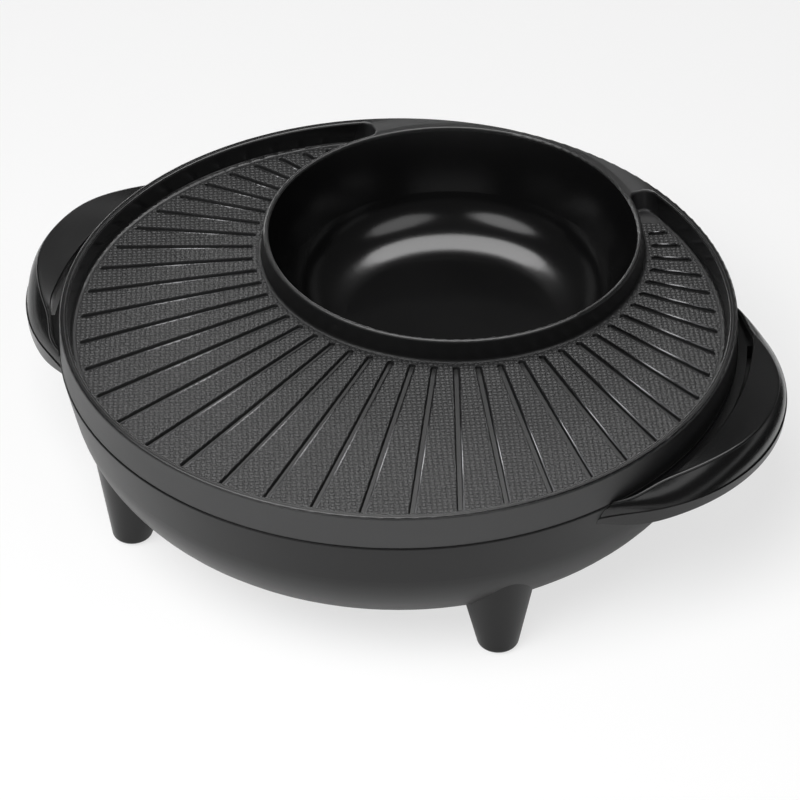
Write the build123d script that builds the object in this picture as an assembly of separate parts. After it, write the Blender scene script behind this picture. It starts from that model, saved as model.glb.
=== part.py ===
"""Electric table grill with a built-in hot pot.

A cast pan, with a crescent grill tray and an off-centre pot, lifts off a plastic base
that holds the heating elements. Millimetres, +Z up, the table at Z = 0, the pan's axis
on X = Y = 0, the front at -Y, the pot towards +Y and the handles at -X and +X.
"""

import os
from math import asin, atan2, cos, degrees, radians, sin, sqrt, tan

from build123d import *

# Pan: rim, skirt and tray
RIM_RADIUS = 190.0
RIM_ROUND = 1.3
SKIRT_SPREAD = 0.8
SKIRT_HEIGHT = 19.0
SKIRT_WALL = 4.5
TRAY_INSET = 6.1
TRAY_DEPTH = 13.0
TRAY_DRAFT = 7.0
TRAY_CORNER = 1.8
PLATE_THICKNESS = 4.0
TIP_WIDTH = 10.6
TIP_ROUND = 4.6

# Pan: pot
POT_RADIUS = 107.3
REAR_LAND = 4.7
POT_DRAFT = 14.9
POT_CORNER = 35.0
POT_DEPTH = 65.5
POT_WALL = 3.2
COLLAR_STEP = 4.4

# Pan: drain grooves, fanned about the pot's axis
GROOVE_PITCH = 6.0
GROOVE_WIDTH = 3.8
GROOVE_DEPTH = 1.6
GROOVE_DRAFT = 25.0
GROOVE_MARGIN = 3.8
GROOVE_BORDER = 4.4
GROOVE_SHORTEST = 10.0

# Base shell
SHELL_STEP = 0.7
SHELL_SEAM = 0.6
SHELL_DRAFT = 10.7
SHELL_CORNER = 69.0
SHELL_FLOOR = 14.0
SHELL_WALL = 2.5
SHELL_EDGE_ROUND = 0.8
VENT_COUNT = 9
VENT_SPREAD = 18.0
VENT_LENGTH = 30.0
VENT_WIDTH = 4.0
VENT_RADIUS = 78.0

# Seat ring between the shell and the pan
SEAT_CLEARANCE = 0.2
SEAT_THICKNESS = 1.8
SEAT_LIP_WIDTH = 1.4
SEAT_LIP_HEIGHT = 1.3
SEAT_LEDGE_HEIGHT = 2.5
PAN_CLEARANCE = 0.4

# Heat reflector
SHEET = 1.0
REFLECTOR_INSET = 13.5
REFLECTOR_TRAY_DEPTH = 8.0
REFLECTOR_TRAY_DRAFT = 20.0
REFLECTOR_TRAY_CORNER = 6.0
REFLECTOR_WELL_GAP = 2.6
REFLECTOR_WELL_CORNER = 36.0
RIB_COUNT = 4
RIB_SPREAD = 50.0
RIB_THICKNESS = 2.5
RIB_INSET = 28.0
RIB_SEAT_LENGTH = 16.0
RIB_SLOPE_DROP = 18.0

# Reflector fixings
POST_CIRCLE = 56.0
POST_RADIUS = 5.5
POST_HEIGHT = 10.5
SPACER_HEIGHT = 6.0

# Heating elements
TUBE_RADIUS = 3.5
BEND_RADIUS = 7.0
GRILL_ELEMENT_CLEARANCE = 1.5
GRILL_ELEMENT_RISE = 18.0
GRILL_ELEMENT_INSET = 23.9
GRILL_ELEMENT_MARGIN = 12.3
GRILL_ELEMENT_LOOP = 12.0
GRILL_ELEMENT_LEG = 14.0
POT_ELEMENT_CLEARANCE = 1.8
POT_ELEMENT_RISE = 9.0
POT_ELEMENT_RADIUS = 42.0
POT_ELEMENT_GAP = 60.0
POT_ELEMENT_LEG = 5.0
TERMINAL_RADIUS = 1.3
TERMINAL_LENGTH = 8.0

# Element clips and insulating bushes
CLIP_WIDTH = 8.0
CLIP_SHEET = 1.2
CLIP_FOOT = 10.0
OUTER_CLIP_ANGLES = (-157.5, -112.5, -67.5, -22.5)
INNER_CLIP_ANGLES = (-150.0, -90.0, -30.0)
POT_CLIP_ANGLES = (-90.0, 0.0, 90.0)
BUSH_RADIUS = 5.5
BUSH_FLANGE_RADIUS = 7.5
BUSH_FLANGE = 2.0
BUSH_DEPTH = 5.0

# Thermostat and thermal fuse under the reflector's tray
THERMOSTAT_PLACE = (-118.0, 8.0)
THERMOSTAT_RADIUS = 8.0
THERMOSTAT_HEIGHT = 9.0
THERMOSTAT_FLANGE = (28.0, 9.0, 1.2)
THERMOSTAT_HOLES = 22.0
BLADE = (6.3, 0.8, 8.0)
BLADE_SPACING = 9.0
FUSE_PLACE = (-118.0, -26.0)
FUSE_RADIUS = 2.2
FUSE_LENGTH = 12.0
FUSE_PIN_RADIUS = 0.8
FUSE_PIN_LENGTH = 4.0
STRAP_WIDTH = 8.0
STRAP_LENGTH = 20.0

# Mains inlet on the hidden side of the shell
INLET_ANGLE = 180.0
INLET_DROP = 35.4
PAD_INSET = 3.9
PAD_WIDTH = 58.0
PAD_HEIGHT = 29.0
PAD_DEPTH = 24.0
PAD_WALL = 3.0
PAD_ROUND = 3.0
INLET_FLANGE = (48.0, 22.4, 2.6)
INLET_BODY = (27.0, 19.6)
INLET_BODY_DEPTH = 16.0
INLET_CAVITY = (24.0, 16.4)
INLET_CAVITY_DEPTH = 15.4
INLET_CAVITY_CHAMFER = 4.0
INLET_SCREW_SPACING = 40.0
PIN_THICKNESS = 2.0
PIN_WIDTH = 4.0
PIN_RECESS = 2.0
PIN_TAIL = 8.0
PIN_SPACING = 7.0
PIN_EARTH_RISE = 3.7
PIN_LIVE_DROP = 0.3

# Leads
LEAD_RADIUS = 1.5
LEAD_BEND = 5.0
LEAD_GAP = 0.4
SLEEVE_RADIUS = 3.8
SLEEVE_LENGTH = 8.0
EARTH_SCREW_PLACE = (-130.0, 30.0)
EARTH_SCREW_LENGTH = 7.0
BLADE_LEAD_DROP = 26.0
LINK_LEAD_DROP = 28.0
FUSE_LEAD_DROP = 36.0
SLEEVE_LEAD_DROP = 12.0
EARTH_LEAD_DROP = 11.0
LINE_LEAD_TURN = (-138.0, 0.0, 36.0)
LINE_POT_TURN = (-96.0, 92.0, 29.0)
NEUTRAL_LEAD_TURN = (-134.0, 52.0, 40.0)
NEUTRAL_POT_TURN = (-92.0, 64.0, 28.0)
POT_LEAD_RUN = 26.0

# Handles: wings lofted about the pan's axis, each held by a bracket on the shell
HANDLE_REACH = 33.2
WING_CURVE = 114.0
WING_RISE = 9.6
WING_HEIGHT = 21.2
WING_DISH = 3.0
WING_END_DROP = 8.5
WING_BULGE = 0.1
WING_END_ANGLE = 34.5
CREST_INSET = 4.7
CREST_STEP_INSET = 10.5
CREST_END_TAPER = 0.7
CREST_START_ANGLE = 4.0
CREST_STEP_ANGLE = 20.5
CREST_CLOSE_ANGLE = 30.0
CREST_FALL_ANGLE = 6.0
CREST_LAND = 2.4
CREST_ROUND = 1.0
INNER_ROUND = 0.8
CREASE_RISE = 5.0
CREASE_GROWTH = 1.8
CREASE_END_DROP = 4.5
CREASE_ANGLE = 28.0
CREASE_STEP = 0.8
FOOT_EDGE_DIP = 2.3
FOOT_EDGE_ANGLE = 25.0
FOOT_EDGE_LIFT = 1.2
BRACKET_DROP = 1.4
BRACKET_THICKNESS = 5.0
BRACKET_HEIGHT = 16.0
BRACKET_ANGLE = 28.5
BRACKET_CORNER = 7.0
SLOT_WIDTH = 2.5
SLOT_RELIEF = 0.4
SLOT_ANGLE = 19.5
RECESS_WALL = 4.5
RECESS_INNER_WALL = 3.5
RECESS_DEPTH = 10.0
RECESS_ANGLE = 13.0
HANDLE_CLEARANCE = 0.2
HANDLE_SCREW_ANGLE = 26.0
HANDLE_SCREW_DROP = 9.4
HANDLE_SCREW_LENGTH = 8.0

# Feet: leaning cones cut to the shell
FOOT_INSET = 27.0
FOOT_ANGLE = 47.0
FOOT_RADIUS = 11.0
FOOT_FLARE = 13.5
FOOT_LEAN = 6.5
FOOT_HEIGHT = 60.0
FOOT_ROUND = 3.0
FOOT_LIFT = 0.8
FOOT_PAD_RADIUS = 6.5
FOOT_PAD_HEIGHT = 4.0
FOOT_SCREW_SEAT = 12.0
FOOT_SCREW_LENGTH = 34.0
FOOT_BOSS_RADIUS = 5.0
FOOT_BOSS_TOP = 50.0

# Screws
SCREW_RADIUS = 2.0
SCREW_HEAD_RADIUS = 3.6
SCREW_HEAD = 2.4
HEAD_CLEARANCE = 0.15
SMALL_SCREW_RADIUS = 1.5
SMALL_HEAD_RADIUS = 2.8
SMALL_HEAD = 1.6

# Heights that follow, from the shell's floor up through the pot to the rim and back down
SHELL_INSIDE_FLOOR = SHELL_FLOOR + SHELL_WALL
POST_TOP = SHELL_INSIDE_FLOOR + POST_HEIGHT
REFLECTOR_WELL_FLOOR = POST_TOP + SPACER_HEIGHT
WELL_INSIDE_FLOOR = REFLECTOR_WELL_FLOOR + SHEET
POT_ELEMENT_Z = WELL_INSIDE_FLOOR + POT_ELEMENT_RISE
POT_ELEMENT_END = REFLECTOR_WELL_FLOOR - POT_ELEMENT_LEG
POT_FLOOR = POT_ELEMENT_Z + TUBE_RADIUS + POT_ELEMENT_CLEARANCE + POT_WALL
RIM_TOP = POT_FLOOR + POT_DEPTH
TRAY_FLOOR = RIM_TOP - TRAY_DEPTH
PLATE_UNDERSIDE = TRAY_FLOOR - PLATE_THICKNESS
GRILL_ELEMENT_Z = PLATE_UNDERSIDE - GRILL_ELEMENT_CLEARANCE - TUBE_RADIUS
TRAY_INSIDE_FLOOR = GRILL_ELEMENT_Z - GRILL_ELEMENT_RISE
REFLECTOR_TRAY_FLOOR = TRAY_INSIDE_FLOOR - SHEET
REFLECTOR_TOP = REFLECTOR_TRAY_FLOOR + REFLECTOR_TRAY_DEPTH
GRILL_ELEMENT_END = REFLECTOR_TRAY_FLOOR - GRILL_ELEMENT_LEG
SKIRT_BOTTOM = RIM_TOP - SKIRT_HEIGHT
SEAT_BOTTOM = SKIRT_BOTTOM - SEAT_THICKNESS
SHELL_TOP = SKIRT_BOTTOM - SHELL_SEAM
INLET_Z = SHELL_TOP - INLET_DROP
WING_TOP = SHELL_TOP + WING_RISE
WING_BOTTOM = WING_TOP - WING_HEIGHT
BRACKET_TOP = SHELL_TOP - BRACKET_DROP
BRACKET_BOTTOM = BRACKET_TOP - BRACKET_HEIGHT
HANDLE_SCREW_Z = SHELL_TOP - HANDLE_SCREW_DROP

# Radii and offsets that follow from the rim and the pot
SKIRT_RADIUS = RIM_RADIUS + SKIRT_SPREAD
SKIRT_INSIDE = SKIRT_RADIUS - SKIRT_WALL
TRAY_RADIUS = RIM_RADIUS - TRAY_INSET
POT_OFFSET = RIM_RADIUS - REAR_LAND - POT_RADIUS
POT_COLLAR_RADIUS = POT_RADIUS + COLLAR_STEP
GROOVE_START_RADIUS = POT_COLLAR_RADIUS + GROOVE_MARGIN
GROOVE_END_RADIUS = TRAY_RADIUS - GROOVE_BORDER
SHELL_RADIUS = SKIRT_RADIUS + SHELL_STEP
SEAT_LIP_RADIUS = SKIRT_INSIDE - PAN_CLEARANCE
SEAT_INNER_RADIUS = SEAT_LIP_RADIUS - SEAT_LIP_WIDTH
REFLECTOR_TRAY_RADIUS = SHELL_RADIUS - REFLECTOR_INSET
RIB_INNER_RADIUS = REFLECTOR_TRAY_RADIUS - RIB_INSET
GRILL_ELEMENT_OUTER = TRAY_RADIUS - GRILL_ELEMENT_INSET
GRILL_ELEMENT_INNER = POT_COLLAR_RADIUS + GRILL_ELEMENT_MARGIN
PAD_RADIUS = SHELL_RADIUS - PAD_INSET
BRACKET_RADIUS = SHELL_RADIUS + BRACKET_THICKNESS
WING_INNER = BRACKET_RADIUS + SLOT_WIDTH
WING_AXIS_X = SHELL_RADIUS + HANDLE_REACH - WING_CURVE
FOOT_CIRCLE = SHELL_RADIUS - FOOT_INSET
OVER = 2.0


def polar(radius, angle, centre=(0.0, 0.0)):
    """Plan point at a radius and an angle, in degrees, about a centre."""
    return (
        centre[0] + radius * cos(radians(angle)),
        centre[1] + radius * sin(radians(angle)),
    )


def turned(x, z):
    """Point of a half section, as a place in the XZ plane."""
    return (x, 0.0, z)


def bowl(radius, top, draft, corner, floor, over=0.0):
    """Solid of revolution: a drafted wall, a rounded corner and a flat floor."""
    slope = radians(draft)
    corner_z = floor + corner
    corner_x = radius - (corner + (top - corner_z) * sin(slope)) / cos(slope)
    middle = -(radians(90.0) + slope) / 2
    wall_end = turned(corner_x + corner * cos(slope), corner_z - corner * sin(slope))
    halfway = turned(corner_x + corner * cos(middle), corner_z + corner * sin(middle))
    floor_end = turned(corner_x, floor)
    wall_top = turned(radius + over * tan(slope), top + over)
    edges = [
        Line(turned(0.0, floor), floor_end),
        ThreePointArc(floor_end, halfway, wall_end),
        Line(wall_end, wall_top),
        Line(wall_top, turned(0.0, top + over)),
        Line(turned(0.0, top + over), turned(0.0, floor)),
    ]
    return revolve(make_face(edges), Axis.Z)


def inner_bowl(radius, top, draft, corner, floor, wall):
    """The hollow that leaves a bowl an even wall, open at the top."""
    inside = radius - wall / cos(radians(draft))
    return bowl(inside, top, draft, corner - wall, floor + wall, OVER)


def ring(outer, inner, bottom, top):
    """Flat ring about the Z axis."""
    return Pos(0, 0, bottom) * extrude(Circle(outer) - Circle(inner), top - bottom)


def post(place, radius, bottom, top):
    """Upright round bar at a plan point."""
    return Pos(place[0], place[1], bottom) * extrude(Circle(radius), top - bottom)


def upright_screw(place, seat, length, direction, radius, head_radius, head):
    """Pan-head screw at a plan point: the shank runs from the seat along the direction."""
    low, high = sorted((seat, seat + direction * length))
    shank = post(place, radius, low, high)
    low, high = sorted((seat, seat - direction * head))
    cap = post(place, head_radius, low, high)
    rim = cap.edges().filter_by(GeomType.CIRCLE).sort_by(Axis.Z)[-1 if direction < 0 else 0]
    return shank + fillet(rim, head / 2)


def tube(path, radius):
    """Round bar along a path of lines and tangent arcs."""
    return sweep(Plane(path @ 0, z_dir=path % 0) * Circle(radius), path=path)


def shell_outside():
    return bowl(SHELL_RADIUS, SHELL_TOP, SHELL_DRAFT, SHELL_CORNER, SHELL_FLOOR)


def shell_inside():
    return inner_bowl(SHELL_RADIUS, SHELL_TOP, SHELL_DRAFT, SHELL_CORNER, SHELL_FLOOR, SHELL_WALL)


def reach_from_pot(angle, radius):
    """Length of a ray from the pot's axis to a circle about the pan's axis."""
    lift = POT_OFFSET * sin(radians(angle))
    return sqrt(lift**2 + radius**2 - POT_OFFSET**2) - lift


def tip_angle():
    """Angle about the pot's axis at which the crescent narrows to its tips' width."""
    end = POT_COLLAR_RADIUS + TIP_WIDTH
    return degrees(asin((TRAY_RADIUS**2 - end**2 - POT_OFFSET**2) / (2 * POT_OFFSET * end)))


def crescent():
    """Plan of the grill tray's floor: the rim's circle less the pot, with rounded tips."""
    pot_centre = (0.0, POT_OFFSET)
    far = 2 * RIM_RADIUS
    tip = tip_angle()
    wedge = Polygon(
        pot_centre, polar(far, tip, pot_centre), polar(far, 180.0 - tip, pot_centre), align=None
    )
    plan = Circle(TRAY_RADIUS) - Pos(*pot_centre) * Circle(POT_COLLAR_RADIUS) - wedge
    corner_line = POT_OFFSET + POT_COLLAR_RADIUS * sin(radians(tip)) / 2
    corners = plan.vertices().filter_by(lambda vertex: vertex.Y > corner_line)
    return fillet(corners, TIP_ROUND)


def tray_hollow():
    """The space above the grill tray, wider at the top than at its rounded floor edge."""
    space = extrude(Pos(0, 0, TRAY_FLOOR) * crescent(), TRAY_DEPTH, taper=-TRAY_DRAFT)
    return fillet(space.edges().group_by(Axis.Z)[0], TRAY_CORNER)


def groove_length(angle):
    return reach_from_pot(angle, GROOVE_END_RADIUS) - GROOVE_START_RADIUS


def groove_angles():
    """Angles of the grooves about the pot's axis, from the front round to where they get too short."""
    turns = [0.0]
    while groove_length(-90.0 + turns[-1] + GROOVE_PITCH) >= GROOVE_SHORTEST:
        turns.append(turns[-1] + GROOVE_PITCH)
    return [-90.0 - turn for turn in turns[:0:-1]] + [-90.0 + turn for turn in turns]


def groove(angle):
    """One drain groove, from the pot's collar to the tray's border."""
    length = groove_length(angle)
    middle = polar(GROOVE_START_RADIUS + length / 2, angle, (0.0, POT_OFFSET))
    slot = Pos(middle[0], middle[1], TRAY_FLOOR) * Rot(0, 0, angle) * SlotOverall(length, GROOVE_WIDTH)
    return extrude(slot, -GROOVE_DEPTH, taper=GROOVE_DRAFT)


def pot_outside_radius(z):
    """Outside radius of the pot's drafted wall at a height."""
    slope = radians(POT_DRAFT)
    return POT_RADIUS + POT_WALL / cos(slope) - (RIM_TOP - z) * tan(slope)


def pot_bowl(wall):
    """The pot's hollow, or its outside when given its wall."""
    radius = POT_RADIUS + wall / cos(radians(POT_DRAFT))
    shape = bowl(radius, RIM_TOP, POT_DRAFT, POT_CORNER + wall, POT_FLOOR - wall)
    return Pos(0, POT_OFFSET) * shape


def cooking_pan():
    profile = Polyline(
        turned(0.0, SKIRT_BOTTOM),
        turned(SKIRT_RADIUS, SKIRT_BOTTOM),
        turned(RIM_RADIUS, RIM_TOP),
        turned(0.0, RIM_TOP),
        close=True,
    )
    body = revolve(make_face(profile), Axis.Z)
    body -= post((0.0, 0.0), SKIRT_INSIDE, SKIRT_BOTTOM, PLATE_UNDERSIDE)
    body += pot_bowl(POT_WALL)
    body -= tray_hollow()
    body -= pot_bowl(0.0)
    body = fillet(body.edges().group_by(Axis.Z)[-1], RIM_ROUND)
    return body - [groove(angle) for angle in groove_angles()]


def inlet_plane(distance):
    """Plane that faces out of the shell at the inlet, at a distance from the axis."""
    x, y = polar(distance, INLET_ANGLE)
    outward = (cos(radians(INLET_ANGLE)), sin(radians(INLET_ANGLE)), 0.0)
    across = (-outward[1], outward[0], 0.0)
    return Plane((x, y, INLET_Z), x_dir=across, z_dir=outward)


def inlet_pad(inset):
    """Upright box on the shell behind the inlet's flange, shrunk by an inset."""
    face = Rectangle(PAD_WIDTH - 2 * inset, PAD_HEIGHT - 2 * inset)
    return extrude(inlet_plane(PAD_RADIUS - inset) * face, -PAD_DEPTH)


def rib(angle):
    """Upright rib inside the shell that carries the reflector's tray."""
    seat_end = RIB_INNER_RADIUS + RIB_SEAT_LENGTH
    outline = Polyline(
        turned(RIB_INNER_RADIUS, SHELL_FLOOR),
        turned(RIB_INNER_RADIUS, REFLECTOR_TRAY_FLOOR),
        turned(seat_end, REFLECTOR_TRAY_FLOOR),
        turned(SHELL_RADIUS, REFLECTOR_TRAY_FLOOR - RIB_SLOPE_DROP),
        turned(SHELL_RADIUS, SHELL_FLOOR),
        close=True,
    )
    plate = extrude(make_face(outline), RIB_THICKNESS / 2, both=True)
    return Rot(0, 0, angle) * plate


def rib_angles():
    first = -90.0 - RIB_SPREAD * (RIB_COUNT - 1) / 2
    return [first + RIB_SPREAD * index for index in range(RIB_COUNT)]


def post_places():
    return [polar(POST_CIRCLE, 45.0 + 90.0 * index, (0.0, POT_OFFSET)) for index in range(4)]


def foot_places():
    """Plan points of the feet, by name."""
    across, along = polar(FOOT_CIRCLE, FOOT_ANGLE)
    return {
        "front_left": (-across, -along),
        "front_right": (across, -along),
        "rear_left": (-across, along),
        "rear_right": (across, along),
    }


def handle_screw_angles():
    return [base + side * HANDLE_SCREW_ANGLE for base in (0.0, 180.0) for side in (-1, 1)]


def radial_plane(angle, radius, z):
    """Plane facing outwards from the Z axis."""
    x, y = polar(radius, angle)
    return Plane((x, y, z), z_dir=(cos(radians(angle)), sin(radians(angle)), 0.0))


def shell_wall_radius(z):
    """Outside radius of the shell's drafted wall at a height."""
    return SHELL_RADIUS - (SHELL_TOP - z) * tan(radians(SHELL_DRAFT))


def handle_screw_seat():
    """Radius of the inside of the shell's wall at the handle screws."""
    wall = SHELL_WALL / cos(radians(SHELL_DRAFT))
    return shell_wall_radius(HANDLE_SCREW_Z - SCREW_HEAD_RADIUS) - wall - HEAD_CLEARANCE


def seat_ledge():
    """Inward ledge at the shell's top that carries the seat ring."""
    inner = SEAT_INNER_RADIUS
    outer = SHELL_RADIUS - SHELL_WALL / 2
    profile = Polyline(
        turned(inner, SEAT_BOTTOM),
        turned(outer, SEAT_BOTTOM),
        turned(outer, SEAT_BOTTOM - SEAT_LEDGE_HEIGHT - (outer - inner)),
        turned(inner, SEAT_BOTTOM - SEAT_LEDGE_HEIGHT),
        close=True,
    )
    return revolve(make_face(profile), Axis.Z)


def base_shell():
    outside = shell_outside()
    body = outside + fillet(inlet_pad(0.0).edges().group_by(SortBy.LENGTH)[0], PAD_ROUND)
    body -= shell_inside()
    body -= inlet_pad(PAD_WALL)
    inner_posts = [rib(angle) for angle in rib_angles()]
    inner_posts += [post(place, POST_RADIUS, SHELL_FLOOR, POST_TOP) for place in post_places()]
    inner_posts += [
        post(place, FOOT_BOSS_RADIUS, SHELL_FLOOR, FOOT_BOSS_TOP) for place in foot_places().values()
    ]
    body += [outside & piece for piece in inner_posts]
    body += seat_ledge() & outside
    body -= [post(place, SCREW_RADIUS, SHELL_INSIDE_FLOOR, POST_TOP) for place in post_places()]
    body -= [
        post(place, SCREW_RADIUS, 0.0, FOOT_SCREW_SEAT + FOOT_SCREW_LENGTH)
        for place in foot_places().values()
    ]
    for angle in handle_screw_angles():
        hole = radial_plane(angle, handle_screw_seat() - OVER, HANDLE_SCREW_Z) * Circle(SCREW_RADIUS)
        body -= extrude(hole, SHELL_WALL * 4)
    opening = inlet_plane(PAD_RADIUS - PAD_WALL - OVER)
    body -= extrude(opening * Rectangle(*INLET_BODY), PAD_WALL + 2 * OVER)
    for side in (-1, 1):
        hole = opening * Pos(side * INLET_SCREW_SPACING / 2, 0) * Circle(SMALL_SCREW_RADIUS)
        body -= extrude(hole, PAD_WALL + 2 * OVER)
    body -= [vent(index) for index in range(VENT_COUNT)]
    rim = body.edges().filter_by(GeomType.CIRCLE).group_by(Axis.Z)[-1].sort_by(SortBy.RADIUS)[-1]
    return fillet(rim, SHELL_EDGE_ROUND)


def vent(index):
    """Air slot in the shell's floor, in a fan under the grill tray."""
    angle = -90.0 + VENT_SPREAD * (index - (VENT_COUNT - 1) / 2)
    place = polar(VENT_RADIUS, angle)
    slot = Pos(place[0], place[1], SHELL_FLOOR) * Rot(0, 0, angle) * SlotOverall(VENT_LENGTH, VENT_WIDTH)
    return extrude(slot, SHELL_WALL)


def seat_ring():
    outer = shell_wall_radius(SEAT_BOTTOM) - SHELL_WALL / cos(radians(SHELL_DRAFT)) - SEAT_CLEARANCE
    flat = ring(outer, SEAT_INNER_RADIUS, SEAT_BOTTOM, SKIRT_BOTTOM)
    lip = ring(SEAT_LIP_RADIUS, SEAT_INNER_RADIUS, SKIRT_BOTTOM, SKIRT_BOTTOM + SEAT_LIP_HEIGHT)
    return flat + lip


def heat_reflector():
    tray = (
        REFLECTOR_TRAY_RADIUS,
        REFLECTOR_TOP,
        REFLECTOR_TRAY_DRAFT,
        REFLECTOR_TRAY_CORNER,
        REFLECTOR_TRAY_FLOOR,
    )
    well = (
        pot_outside_radius(REFLECTOR_TOP) + REFLECTOR_WELL_GAP,
        REFLECTOR_TOP,
        POT_DRAFT,
        REFLECTOR_WELL_CORNER,
        REFLECTOR_WELL_FLOOR,
    )
    to_pot = Pos(0, POT_OFFSET)
    body = bowl(*tray) + to_pot * bowl(*well)
    body -= inner_bowl(*tray, SHEET)
    body -= to_pot * inner_bowl(*well, SHEET)
    holes = [post(place, SCREW_RADIUS, REFLECTOR_WELL_FLOOR, WELL_INSIDE_FLOOR) for place in post_places()]
    holes += [post(place, BUSH_RADIUS, 0.0, REFLECTOR_TOP) for place in element_legs()]
    holes += [
        post(place, SMALL_SCREW_RADIUS, REFLECTOR_TRAY_FLOOR, TRAY_INSIDE_FLOOR)
        for place in tray_screw_places()
    ]
    return body - holes


def reflector_spacers():
    holes = [post(place, SCREW_RADIUS, POST_TOP, REFLECTOR_WELL_FLOOR) for place in post_places()]
    bars = [post(place, POST_RADIUS, POST_TOP, REFLECTOR_WELL_FLOOR) for place in post_places()]
    return Compound([bar - hole for bar, hole in zip(bars, holes)])


def reflector_screws():
    length = WELL_INSIDE_FLOOR - SHELL_INSIDE_FLOOR
    return Compound(
        [
            upright_screw(
                place, WELL_INSIDE_FLOOR, length, -1, SCREW_RADIUS, SCREW_HEAD_RADIUS, SCREW_HEAD
            )
            for place in post_places()
        ]
    )


def grill_loop():
    """Centre of the bend that joins the grill element's two arcs at the right."""
    to_axis = GRILL_ELEMENT_OUTER - GRILL_ELEMENT_LOOP
    to_pot = GRILL_ELEMENT_INNER + GRILL_ELEMENT_LOOP
    y = (to_axis**2 - to_pot**2 + POT_OFFSET**2) / (2 * POT_OFFSET)
    return (sqrt(to_axis**2 - y**2), y)


def grill_arc_angles():
    """Where the outer and the inner arc meet that bend, about the pan's and the pot's axes."""
    x, y = grill_loop()
    return degrees(atan2(y, x)), degrees(atan2(y - POT_OFFSET, x))


def grill_legs():
    outer_angle, inner_angle = grill_arc_angles()
    return [
        polar(GRILL_ELEMENT_OUTER, 180.0 - outer_angle),
        polar(GRILL_ELEMENT_INNER, 180.0 - inner_angle, (0.0, POT_OFFSET)),
    ]


def pot_leg_angles():
    return (180.0 - POT_ELEMENT_GAP / 2, 180.0 + POT_ELEMENT_GAP / 2)


def pot_legs():
    return [polar(POT_ELEMENT_RADIUS, angle, (0.0, POT_OFFSET)) for angle in pot_leg_angles()]


def element_legs():
    """Plan points where the elements' ends stand, past their bends."""
    outer, inner = grill_arc_angles()
    ends = [leg_point(place, heading) for place, heading in zip(grill_legs(), (90.0 - outer, 90.0 - inner))]
    first, last = pot_leg_angles()
    ends += [leg_point(place, heading) for place, heading in zip(pot_legs(), (first + 90.0, last - 90.0))]
    return ends


def leg_point(place, heading):
    """Plan point of an upright leg after a bend that leaves a place along a heading."""
    return polar(BEND_RADIUS, heading, place)


def bent_end(place, heading, z, end):
    """Edges of an element's end: a quarter bend down from the arc and an upright leg."""
    leg = leg_point(place, heading)
    bend = BEND_RADIUS
    middle = polar(bend * sin(radians(45.0)), heading, place)
    drop = bend * (1 - cos(radians(45.0)))
    start = (place[0], place[1], z)
    foot = (leg[0], leg[1], z - bend)
    arc = ThreePointArc(start, (middle[0], middle[1], z - drop), foot)
    return [arc, Line(foot, (leg[0], leg[1], end))]


def grill_element():
    outer_angle, inner_angle = grill_arc_angles()
    pot_centre = (0.0, POT_OFFSET)
    z = GRILL_ELEMENT_Z
    loop = grill_loop()
    start, finish = grill_legs()
    outer = CenterArc((0, 0, z), GRILL_ELEMENT_OUTER, 180.0 - outer_angle, 180.0 + 2 * outer_angle)
    turn = CenterArc((*loop, z), GRILL_ELEMENT_LOOP, outer_angle, 180.0 - outer_angle + inner_angle)
    inner = CenterArc(
        (*pot_centre, z), GRILL_ELEMENT_INNER, inner_angle, -180.0 - 2 * inner_angle
    )
    path = Wire(
        [
            *bent_end(start, 90.0 - outer_angle, z, GRILL_ELEMENT_END),
            outer,
            turn,
            inner,
            *bent_end(finish, 90.0 - inner_angle, z, GRILL_ELEMENT_END),
        ]
    )
    return tube(path, TUBE_RADIUS)


def pot_element():
    z = POT_ELEMENT_Z
    first, last = pot_leg_angles()
    start, finish = pot_legs()
    arc = CenterArc((0, POT_OFFSET, z), POT_ELEMENT_RADIUS, last, 360.0 - POT_ELEMENT_GAP)
    path = Wire(
        [
            *bent_end(finish, last - 90.0, z, POT_ELEMENT_END),
            arc,
            *bent_end(start, first + 90.0, z, POT_ELEMENT_END),
        ]
    )
    return tube(path, TUBE_RADIUS)


def clip(centre, radius, angle, z, floor):
    """Sheet clip round an element: a band about the tube, a leg and a foot on the sheet."""
    band = Circle(TUBE_RADIUS + CLIP_SHEET)
    leg_height = z - floor
    leg = Pos(0, -leg_height / 2) * Rectangle(CLIP_SHEET, leg_height)
    foot = Pos(CLIP_FOOT / 2, CLIP_SHEET / 2 - leg_height) * Rectangle(CLIP_FOOT, CLIP_SHEET)
    section = band + leg + foot - Circle(TUBE_RADIUS)
    turn = degrees(CLIP_WIDTH / radius)
    strip = revolve(Plane.XZ * Pos(radius, z) * section, Axis.Z, turn)
    return Pos(centre[0], centre[1]) * Rot(0, 0, angle - turn / 2) * strip


def grill_element_clips():
    pot_centre = (0.0, POT_OFFSET)
    z = GRILL_ELEMENT_Z
    floor = TRAY_INSIDE_FLOOR
    clips = [clip((0.0, 0.0), GRILL_ELEMENT_OUTER, angle, z, floor) for angle in OUTER_CLIP_ANGLES]
    clips += [clip(pot_centre, GRILL_ELEMENT_INNER, angle, z, floor) for angle in INNER_CLIP_ANGLES]
    return Compound(clips)


def pot_element_clips():
    pot_centre = (0.0, POT_OFFSET)
    return Compound(
        [
            clip(pot_centre, POT_ELEMENT_RADIUS, angle, POT_ELEMENT_Z, WELL_INSIDE_FLOOR)
            for angle in POT_CLIP_ANGLES
        ]
    )


def bush(place, floor):
    """Ceramic bush that carries an element's leg through the sheet."""
    body = post(place, BUSH_RADIUS, floor - BUSH_DEPTH, floor)
    flange = post(place, BUSH_FLANGE_RADIUS, floor, floor + BUSH_FLANGE)
    return body + flange - post(place, TUBE_RADIUS, floor - BUSH_DEPTH, floor + BUSH_FLANGE)


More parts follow.
